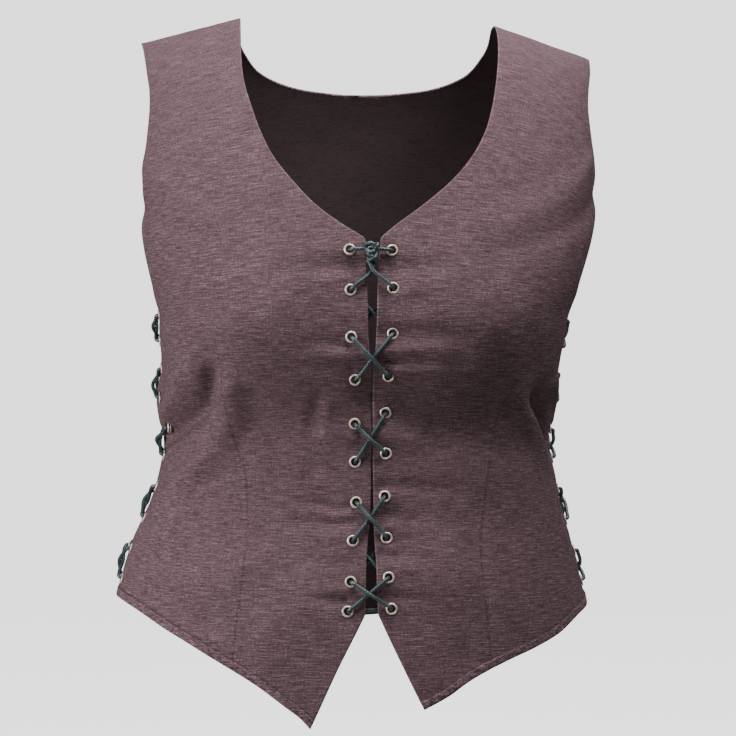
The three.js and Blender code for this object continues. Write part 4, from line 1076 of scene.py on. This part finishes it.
back_eyelets = {
    "left": spots_beside(BACK_HALVES["left"]["laced"], FRONTS["front_left"]["side_heights"], 1),
    "right": spots_beside(BACK_HALVES["right"]["laced"], FRONTS["front_right"]["side_heights"], -1),
}
back_grids = []
for half_name, half_table in BACK_HALVES.items():
    half_edges = {
        "inner": (
            edge_run(half_table["centre"], 0.0, BACK_SCOOP),
            edge_run(half_table["neckline"], BACK_SCOOP, 1.0),
        ),
        "outer": (
            edge_run(half_table["laced"], 0.0, BACK_UNDERARM),
            edge_run(half_table["armhole"], BACK_UNDERARM, 1.0),
        ),
        "bottom": (edge_run(half_table["hem"], 0.0, 1.0),),
        "top": (shoulder_run(half_table),),
    }
    back_grids.append(panel_grid(
        half_edges,
        BACK_COLUMNS,
        BACK_ROWS,
        lambda middle: (middle[back_open_rows:, 0], middle[:, -1]),
        back_eyelets[half_name],
        half_name == "left",
    ))

# The second half takes the first half's points down the centre, so the panel is whole.
half_count = len(BACK_COLUMNS) * len(BACK_ROWS)
centre_points = np.arange(back_open_rows + 1) * len(BACK_COLUMNS)
kept_point = np.arange(2 * half_count)
kept_point[centre_points + half_count] = centre_points
back_quads = np.concatenate([back_grids[0]["quads"], back_grids[1]["quads"] + half_count])
back_values = {
    key: np.concatenate([grid[key].reshape(half_count, -1) for grid in back_grids])
    for key in ("outer", "grain", "hem", "edge")
}
NO_DART = 50.0
back_mesh = cloth_mesh(
    "back_cloth",
    back_values["outer"],
    kept_point[back_quads],
    back_values["grain"],
    {
        "hem": back_values["hem"][:, 0],
        "edge": back_values["edge"][:, 0],
        "dart": np.full(2 * half_count, NO_DART),
    },
)
back_piece = show("back_cloth", back_mesh, (cloth, lining), ("back",))
thicken(back_piece)

# Hem stitching
# One row of matching thread is machine sewn through the turned hem of the fronts and
# the back; the other edges are finished by the lining and show no stitches.

THREAD_COLOUR = (0.230, 0.150, 0.160, 1.0)
STITCH_LENGTH = 2.3
STITCH_GAP = 0.8
STITCH_HALF_WIDTH = 0.26
STITCH_HEIGHT = 0.24
STITCH_SIDES = 6


def tube_faces(rings, sides):
    """Quads between rings of points that follow each other, and a face at each end."""
    base = np.arange(rings - 1)[:, None] * sides
    step = np.arange(sides)[None]
    after = (step + 1) % sides
    quads = np.stack([base + step, base + after, base + sides + after, base + sides + step], -1)
    ends = np.stack([np.arange(sides)[::-1], (rings - 1) * sides + np.arange(sides)])
    return quads.reshape(-1, 4), ends


def stitch_mesh(name, lines):
    """Small pillows along lines of points with outward directions: each stitch is a six
    sided bead drawn out along the line, its rings narrowing at both ends."""
    ring_along = np.array([-0.5, -0.38, 0.38, 0.5])
    ring_size = np.array([0.35, 1.0, 1.0, 0.35])
    around = np.arange(STITCH_SIDES) * 2 * np.pi / STITCH_SIDES
    quads, ends = tube_faces(len(ring_along), STITCH_SIDES)
    verts, faces = [], []
    start = 0
    for points, outs in lines:
        lengths = walked(points)
        middles = np.arange(STITCH_LENGTH, lengths[-1] - STITCH_LENGTH / 2, STITCH_LENGTH + STITCH_GAP)
        at, ahead, out = [
            np.stack([np.interp(place, lengths, rows[:, axis]) for axis in range(3)], -1)
            for place, rows in ((middles, points), (middles + 0.5, points), (middles, outs))
        ]
        run = unit(ahead - at)
        side = unit(np.cross(out, run))
        along = ring_along[None, :, None, None] * STITCH_LENGTH * run[:, None, None]
        wide = ring_size[None, :, None, None] * STITCH_HALF_WIDTH * np.cos(around)[None, None, :, None]
        tall = ring_size[None, :, None, None] * STITCH_HEIGHT * np.sin(around)[None, None, :, None]
        ring = at[:, None, None] + along + wide * side[:, None, None] + tall * out[:, None, None]
        verts.append(ring.reshape(-1, 3))
        firsts = start + np.arange(len(at)) * ring_along.size * STITCH_SIDES
        faces += (firsts[:, None, None] + quads).reshape(-1, 4).tolist()
        for end in ends:
            faces += (firsts[:, None] + end).tolist()
        start += len(verts[-1])
    return smooth_mesh(name, np.concatenate(verts) * MM, faces)


def inset_line(angle, level, away, inset):
    """Where the distance grid first reaches the inset along its second axis, as cloth
    points with outward directions."""
    reached = np.argmax(away >= inset, axis=1)
    rows = np.flatnonzero(reached > 0)
    after = reached[rows]
    near, far = away[rows, after - 1], away[rows, after]
    part = (inset - near) / np.maximum(far - near, 1e-6)
    found_angle = angle[rows, after - 1] * (1 - part) + angle[rows, after] * part
    found_level = level[rows, after - 1] * (1 - part) + level[rows, after] * part
    return cloth_place(found_angle, found_level)


def thread_material():
    """Dull matching thread, a little lighter than the cloth, mottled along it."""
    material, tree, shader = start_material("plum_thread", {"Roughness": 0.75})
    place = add_node(tree, "ShaderNodeTexCoord").outputs["Object"]
    noise = add_node(tree, "ShaderNodeTexNoise", Vector=place, Scale=900.0, Detail=1.0)
    mix = add_node(tree, "ShaderNodeMix", data_type="RGBA")
    mix.inputs["A"].default_value = PLUM_MID
    mix.inputs["B"].default_value = THREAD_COLOUR
    tree.links.new(noise.outputs["Fac"], mix.inputs["Factor"])
    tree.links.new(mix.outputs["Result"], shader.inputs["Base Color"])
    return material


thread = thread_material()
stitch_lines = []
for grid in front_grids + back_grids:
    points, outs = inset_line(grid["angle"].T, grid["level"].T, grid["hem"].T, HEM_STITCH_INSET)
    stitch_lines.append((points + outs * (CLOTH_OUT + HEM_RAISE), outs))
show("hem_stitches", stitch_mesh("hem_stitches", stitch_lines), (thread,))

# Eyelets
# Sixty pressed brass eyelets, each a rolled flange outside, a short barrel through the
# cloth and a washer inside, set down both edges of each laced opening.

# Radius and height over the middle of the cloth, round the closed profile, in mm.
EYELET_PROFILE = (
    (3.30, -1.20), (3.30, 1.20), (3.38, 1.58), (3.62, 1.84), (4.00, 1.92), (4.42, 1.76),
    (4.80, 1.42), (5.04, 1.08), (5.00, 0.80), (3.62, 0.80), (3.62, -0.55), (5.05, -0.55),
    (5.20, -0.85), (5.00, -1.20), (4.30, -1.50), (3.70, -1.58), (3.40, -1.48),
)
EYELET_SIDES = 30
BRASS_DULL = (0.34, 0.24, 0.18, 1.0)
BRASS_BRIGHT = (0.76, 0.64, 0.55, 1.0)


def eyelet_mesh(name, spots):
    """The profile turned round each spot's outward direction, all as one mesh."""
    profile = np.array(EYELET_PROFILE)
    turn = np.arange(EYELET_SIDES) * 2 * np.pi / EYELET_SIDES
    out = spots["out"]
    side = unit(np.cross(np.array([0.0, 0.0, 1.0]), out))
    other = np.cross(out, side)
    ring = np.cos(turn)[None, :, None] * side[:, None] + np.sin(turn)[None, :, None] * other[:, None]
    points = spots["point"][:, None, None] + profile[None, None, :, :1] * ring[:, :, None]
    points = points + profile[None, None, :, 1:] * out[:, None, None]
    count, rows = len(out), len(profile)
    eyelet = np.arange(count)[:, None, None] * EYELET_SIDES * rows
    around = np.arange(EYELET_SIDES)[None, :, None]
    step = np.arange(rows)[None, None]
    next_around = (around + 1) % EYELET_SIDES
    next_step = (step + 1) % rows
    quads = np.stack([
        eyelet + around * rows + step,
        eyelet + next_around * rows + step,
        eyelet + next_around * rows + next_step,
        eyelet + around * rows + next_step,
    ], -1)
    return smooth_mesh(name, points.reshape(-1, 3) * MM, quads.reshape(-1, 4).tolist())


def brass_material():
    """Pale worn brass: bright metal, dulled and browned in soft patches, with fine
    scuffs that vary its roughness."""
    material, tree, shader = start_material("pale_brass", {"Metallic": 0.45})
    place = add_node(tree, "ShaderNodeTexCoord").outputs["Object"]
    patches = add_node(tree, "ShaderNodeTexNoise", Vector=place, Scale=260.0, Detail=3.0)
    scuffs = add_node(tree, "ShaderNodeTexNoise", Vector=place, Scale=2200.0, Detail=2.0)
    colour = add_ramp(tree, patches.outputs["Fac"], ((0.30, BRASS_DULL), (0.58, BRASS_BRIGHT)))
    tree.links.new(colour, shader.inputs["Base Color"])
    rough = add_maths(tree, "MULTIPLY_ADD", scuffs.outputs["Fac"], 0.3, 0.24)
    tree.links.new(rough, shader.inputs["Roughness"])
    return material


brass = brass_material()
side_names = {"front_right": "right", "front_left": "left"}


def eyelet_nodes(place):
    """Names of the ten source nodes a side of one place."""
    return [f"eyelet_{place}_{side}_{row:02d}" for side in side_names.values() for row in range(1, 11)]


for group_name, group_spots, group_nodes in (
    ("eyelets_front", list(front_eyelets.values()), eyelet_nodes("front")),
    ("eyelets_side_fronts", list(side_eyelets.values()), eyelet_nodes("side")),
    ("eyelets_side_back", [back_eyelets["right"], back_eyelets["left"]], []),
):
    group_mesh = eyelet_mesh(group_name, joined_spots(group_spots))
    show(group_name, group_mesh, (brass,), group_nodes)

# Front lace
# One round braided cord. It lies across the inside at the foot, comes out at both
# lowest eyelets, crosses outside and inside by turns up the opening, is tied in a knot
# at the top, and each end goes in at its top eyelet and hangs inside.

LACE_RADIUS = 1.65
LACE_SIDES = 12
LACE_STEP = 0.8
LACE_UNDER = 3.1
LACE_OVER = 6.4
LACE_KNOT_RISE = 15.5
# The tails' points inside the cloth: share of the turn away, and mm down and inward.
TAIL_AWAY = np.array([0.35, 0.7, 1.0])
TAIL_DOWN = np.array([14.0, 30.0, 46.0])
TAIL_INSIDE = np.array([4.2, 4.0, 3.8])
# The braid: strands round it, metres of a strand's wave along it, and its colours.
BRAID_STRANDS = 4
BRAID_WAVE = 0.0026
TEAL_DARK = (0.004, 0.011, 0.014, 1.0)
TEAL_LIGHT = (0.050, 0.088, 0.092, 1.0)

# Reach along the strand and height over the middle of the cloth, outside then inside.
THREADING = (
    (5.0, 4.05), (3.4, 4.02), (2.1, 3.7), (1.15, 2.6), (0.75, 1.2),
    (0.75, -1.0), (1.1, -2.2), (2.0, -3.2), (3.4, -3.55), (5.0, -3.55),
)


def one_spot(spots, row):
    """One spot of a group."""
    return {key: values[row] for key, values in spots.items()}


def flat_toward(spot, target):
    """Direction along the cloth from a spot to a target."""
    toward = target - spot["point"]
    return unit(toward - (toward @ spot["out"]) * spot["out"])


def thread_in(spot, outside_target, inside_target):
    """Points through an eyelet from outside to inside, bent round its rim."""
    rows = np.array(THREADING)
    toward = np.where(
        rows[:, 1:] > 0, flat_toward(spot, outside_target), flat_toward(spot, inside_target)
    )
    return spot["point"] + rows[:, :1] * toward + rows[:, 1:] * spot["out"]


def crossing(first, second, out, rise=0.0):
    """Middle between two spots, off the cloth there by out."""
    angle = np.array([(first["angle"] + second["angle"]) / 2])
    height = np.array([(first["point"][2] + second["point"][2]) / 2 + rise])
    point, direction = cloth_place(angle, level_of(angle, height))
    return (point + direction * out)[0]


def strand_down(near, far, first_row, is_over):
    """Points of one strand from a row down, changing sides at every row: outside from
    odd rows to even ones, inside from even rows to odd. Where it crosses the other after
    a row it lies over it if is_over says so."""
    points = []
    here, there = near, far
    count = len(near["angle"])
    for row in range(first_row, count):
        outside_next = row % 2 == 0
        spot = one_spot(here, row)
        following = one_spot(there, min(row + 1, count - 1))
        before = one_spot(there, max(row - 1, 0))
        if outside_next:
            points.append(thread_in(spot, following["point"], before["point"])[::-1])
        else:
            points.append(thread_in(spot, before["point"], following["point"]))
        if row + 1 < count:
            lift = LACE_OVER if is_over(row) else LACE_UNDER
            points.append(crossing(spot, following, lift if outside_next else -lift)[None])
        here, there = there, here
    return points


def tail_points(spot, away_degrees):
    """Three points of a tail inside the cloth, down and away from the opening."""
    angle = spot["angle"] + np.radians(away_degrees) * TAIL_AWAY
    point, out = cloth_place(angle, level_of(angle, spot["point"][2] - TAIL_DOWN))
    return point - out * TAIL_INSIDE[:, None]


def cord_mesh(name, route):
    """A tube carried along a smooth run through the route. The rings' side direction is
    carried on from ring to ring, kept square to the path. Its map runs once round and
    in metres along. A small wave in the radius gives the braid its uneven outline."""
    lengths = walked(route)
    at = np.linspace(0.0, lengths[-1], int(lengths[-1] / LACE_STEP))
    path = np.stack([follow(lengths, route[:, axis], at) for axis in range(3)], -1)
    tangent = unit(np.gradient(path, axis=0))
    side = np.zeros_like(path)
    carried = np.cross(tangent[0], (0.31, 0.22, 0.92))
    for ring in range(len(path)):
        carried = unit(carried - (carried @ tangent[ring]) * tangent[ring])
        side[ring] = carried
    other = np.cross(tangent, side)
    turn = np.arange(LACE_SIDES) * 2 * np.pi / LACE_SIDES
    size = LACE_RADIUS * (1.0 + 0.05 * np.sin(at[:, None] * 1.9 + 2 * turn[None]))
    size[0] *= 0.6
    size[-1] *= 0.6
    rings = path[:, None] + size[..., None] * (
        np.cos(turn)[None, :, None] * side[:, None] + np.sin(turn)[None, :, None] * other[:, None]
    )
    quads, ends = tube_faces(len(path), LACE_SIDES)
    mesh = smooth_mesh(name, rings.reshape(-1, 3) * MM, quads.tolist() + ends.tolist())
    cord_map = mesh.uv_layers.new(name="cord")
    step = np.arange(LACE_SIDES)
    ring_u = np.stack([step, step + 1, step + 1, step], -1)[None] / LACE_SIDES
    ring_v = np.stack([at[:-1], at[:-1], at[1:], at[1:]], -1)[:, None] * MM
    quad_map = np.stack(np.broadcast_arrays(ring_u, ring_v), -1)
    end_map = np.zeros(2 * ends.size)
    cord_map.data.foreach_set("uv", np.concatenate([quad_map.ravel(), end_map]))
    return mesh


def cord_material():
    """Dark teal braided cord: two slanting waves round the tube cross as a braid; the
    raised strands are painted lighter as a painted highlight, with a soft shine."""
    material, tree, shader = start_material(
        "teal_cord", {"Roughness": 0.42, "Specular IOR Level": 0.6}
    )
    cord_map = add_node(tree, "ShaderNodeUVMap", uv_map="cord")
    split = add_node(tree, "ShaderNodeSeparateXYZ", Vector=cord_map.outputs["UV"])
    around = add_maths(tree, "MULTIPLY", split.outputs[0], BRAID_STRANDS * 2 * np.pi)
    along = add_maths(tree, "MULTIPLY", split.outputs[1], 2 * np.pi / BRAID_WAVE)
    left_wave = add_maths(tree, "SINE", add_maths(tree, "ADD", around, along))
    right_wave = add_maths(tree, "SINE", add_maths(tree, "SUBTRACT", around, along))
    braid = add_maths(tree, "MAXIMUM", left_wave, right_wave)
    place = add_node(tree, "ShaderNodeTexCoord").outputs["Object"]
    noise = add_node(tree, "ShaderNodeTexNoise", Vector=place, Scale=700.0, Detail=2.0)
    # The raised strands of the braid are lightened: painted highlight.
    tone = add_maths(tree, "MULTIPLY_ADD", braid, 0.18, 0.2)
    tone = add_maths(tree, "MULTIPLY_ADD", noise.outputs["Fac"], 0.5, tone)
    colour = add_ramp(tree, tone, ((0.25, TEAL_DARK), (0.85, TEAL_LIGHT)))
    tree.links.new(colour, shader.inputs["Base Color"])
    add_bump(tree, shader, braid, 0.35, 0.0003)
    return material


teal = cord_material()


def show_cord(name, route, nodes):
    """One length of the cord in its place, for the source's nodes."""
    show(name, cord_mesh(name, route), (teal,), nodes)


right_row = front_eyelets["front_right"]
left_row = front_eyelets["front_left"]
knot_centre = crossing(one_spot(right_row, 0), one_spot(left_row, 0), 6.6)
knot_centre[2] -= 1.2


def by_knot(across, out, up):
    """A point by the knot's centre, in mm across, out from the cloth and up."""
    return knot_centre + np.array([across, -out, up], float)


cross_under = crossing(one_spot(right_row, 1), one_spot(left_row, 1), LACE_UNDER, LACE_KNOT_RISE)
cross_over = crossing(one_spot(right_row, 1), one_spot(left_row, 1), LACE_OVER, LACE_KNOT_RISE)
down_from_right = strand_down(right_row, left_row, 1, lambda row: False)
down_from_left = strand_down(left_row, right_row, 1, lambda row: True)
lace_route = np.concatenate(
    [np.array([by_knot(3.2, -1.2, -6.0), cross_under])]
    + [thread_in(one_spot(right_row, 1), cross_under, left_row["point"][2])]
    + down_from_right[1:]
    + [piece[::-1] for piece in down_from_left[:0:-1]]
    + [thread_in(one_spot(left_row, 1), cross_over, right_row["point"][2])[::-1]]
    + [np.array([cross_over, by_knot(-3.0, 0.6, -6.0)])]
)
show_cord("front_lace_cord", lace_route, ("front_lace",))

# Top knot of the front lace, as two tight turns of the cord: across, out and up in mm.
KNOT_TURNS = (
    (-3.2, 0.4, -11.5), (-2.6, 1.6, -9.4), (-0.2, 3.4, -8.2), (2.9, 3.2, -6.6), (4.2, 1.4, -2.6),
    (3.9, 1.6, 1.2), (1.8, 3.4, 4.0), (-1.8, 3.6, 5.2), (-4.6, 1.8, 4.6), (-4.4, -1.6, 4.4),
    (-1.0, -2.6, 4.0), (3.0, -1.6, 4.2), (5.0, 1.2, 4.4), (4.4, 3.4, 2.6), (3.4, 2.4, 0.8),
    (4.6, 0.4, 0.2), (7.0, -1.4, 0.6),
)
KNOT_WRAP = (
    (3.2, -1.2, -11.5), (3.0, 0.4, -9.0), (1.6, 2.8, -6.4), (-1.6, 3.6, -5.0), (-3.6, 1.6, -2.4),
    (-3.4, -0.8, 0.6), (-0.8, -1.6, 1.6), (2.2, 0.6, 0.4), (1.6, 3.2, -1.6), (-1.0, 4.0, -2.4),
    (-3.8, 2.2, -0.4), (-4.8, 0.2, 1.6), (-7.0, -0.9, 1.0),
)
for knot_name, knot_turns, knot_nodes in (
    ("front_lace_knot_turns", KNOT_TURNS, ("front_lace_knot",)),
    ("front_lace_knot_wrap", KNOT_WRAP, ()),
):
    show_cord(knot_name, np.array([by_knot(*turn) for turn in knot_turns]), knot_nodes)

for end_name, end_row, end_sign in (("right", right_row, -1), ("left", left_row, 1)):
    end_spot = one_spot(end_row, 0)
    end_tail = tail_points(end_spot, end_sign * 12)
    end_route = np.concatenate([
        np.array([by_knot(end_sign * 6.0, -1.2, 0.9)]),
        thread_in(end_spot, knot_centre, end_tail[0])[1:],
        end_tail,
    ])
    show_cord("front_lace_tail_" + end_name, end_route, ("front_lace_end_" + end_name,))

# Side laces
# One cord a side, laced as at the front from a bar inside the lowest eyelets, with both
# ends going in at the top row and hanging inside.

for front_name, side_name in side_names.items():
    side_sign = FRONTS[front_name]["sign"]
    ahead = side_eyelets[front_name]
    behind = {key: values.copy() for key, values in back_eyelets[side_name].items()}
    if side_name == "right":
        behind["angle"] -= 2 * np.pi
    ahead_tail = tail_points(one_spot(ahead, 0), -side_sign * 13)
    behind_tail = tail_points(one_spot(behind, 0), side_sign * 13)
    down = strand_down(ahead, behind, 0, lambda row: row % 4 < 2)
    up = strand_down(behind, ahead, 0, lambda row: row % 4 > 1)
    side_route = np.concatenate(
        [ahead_tail[::-1]]
        + [thread_in(one_spot(ahead, 0), behind["point"][1], ahead_tail[0])[::-1]]
        + down[1:]
        + [piece[::-1] for piece in up[:0:-1]]
        + [thread_in(one_spot(behind, 0), ahead["point"][1], behind_tail[0])]
        + [behind_tail]
    )
    show_cord(f"side_lace_{side_name}_cord", side_route, (f"side_lace_{side_name}",))
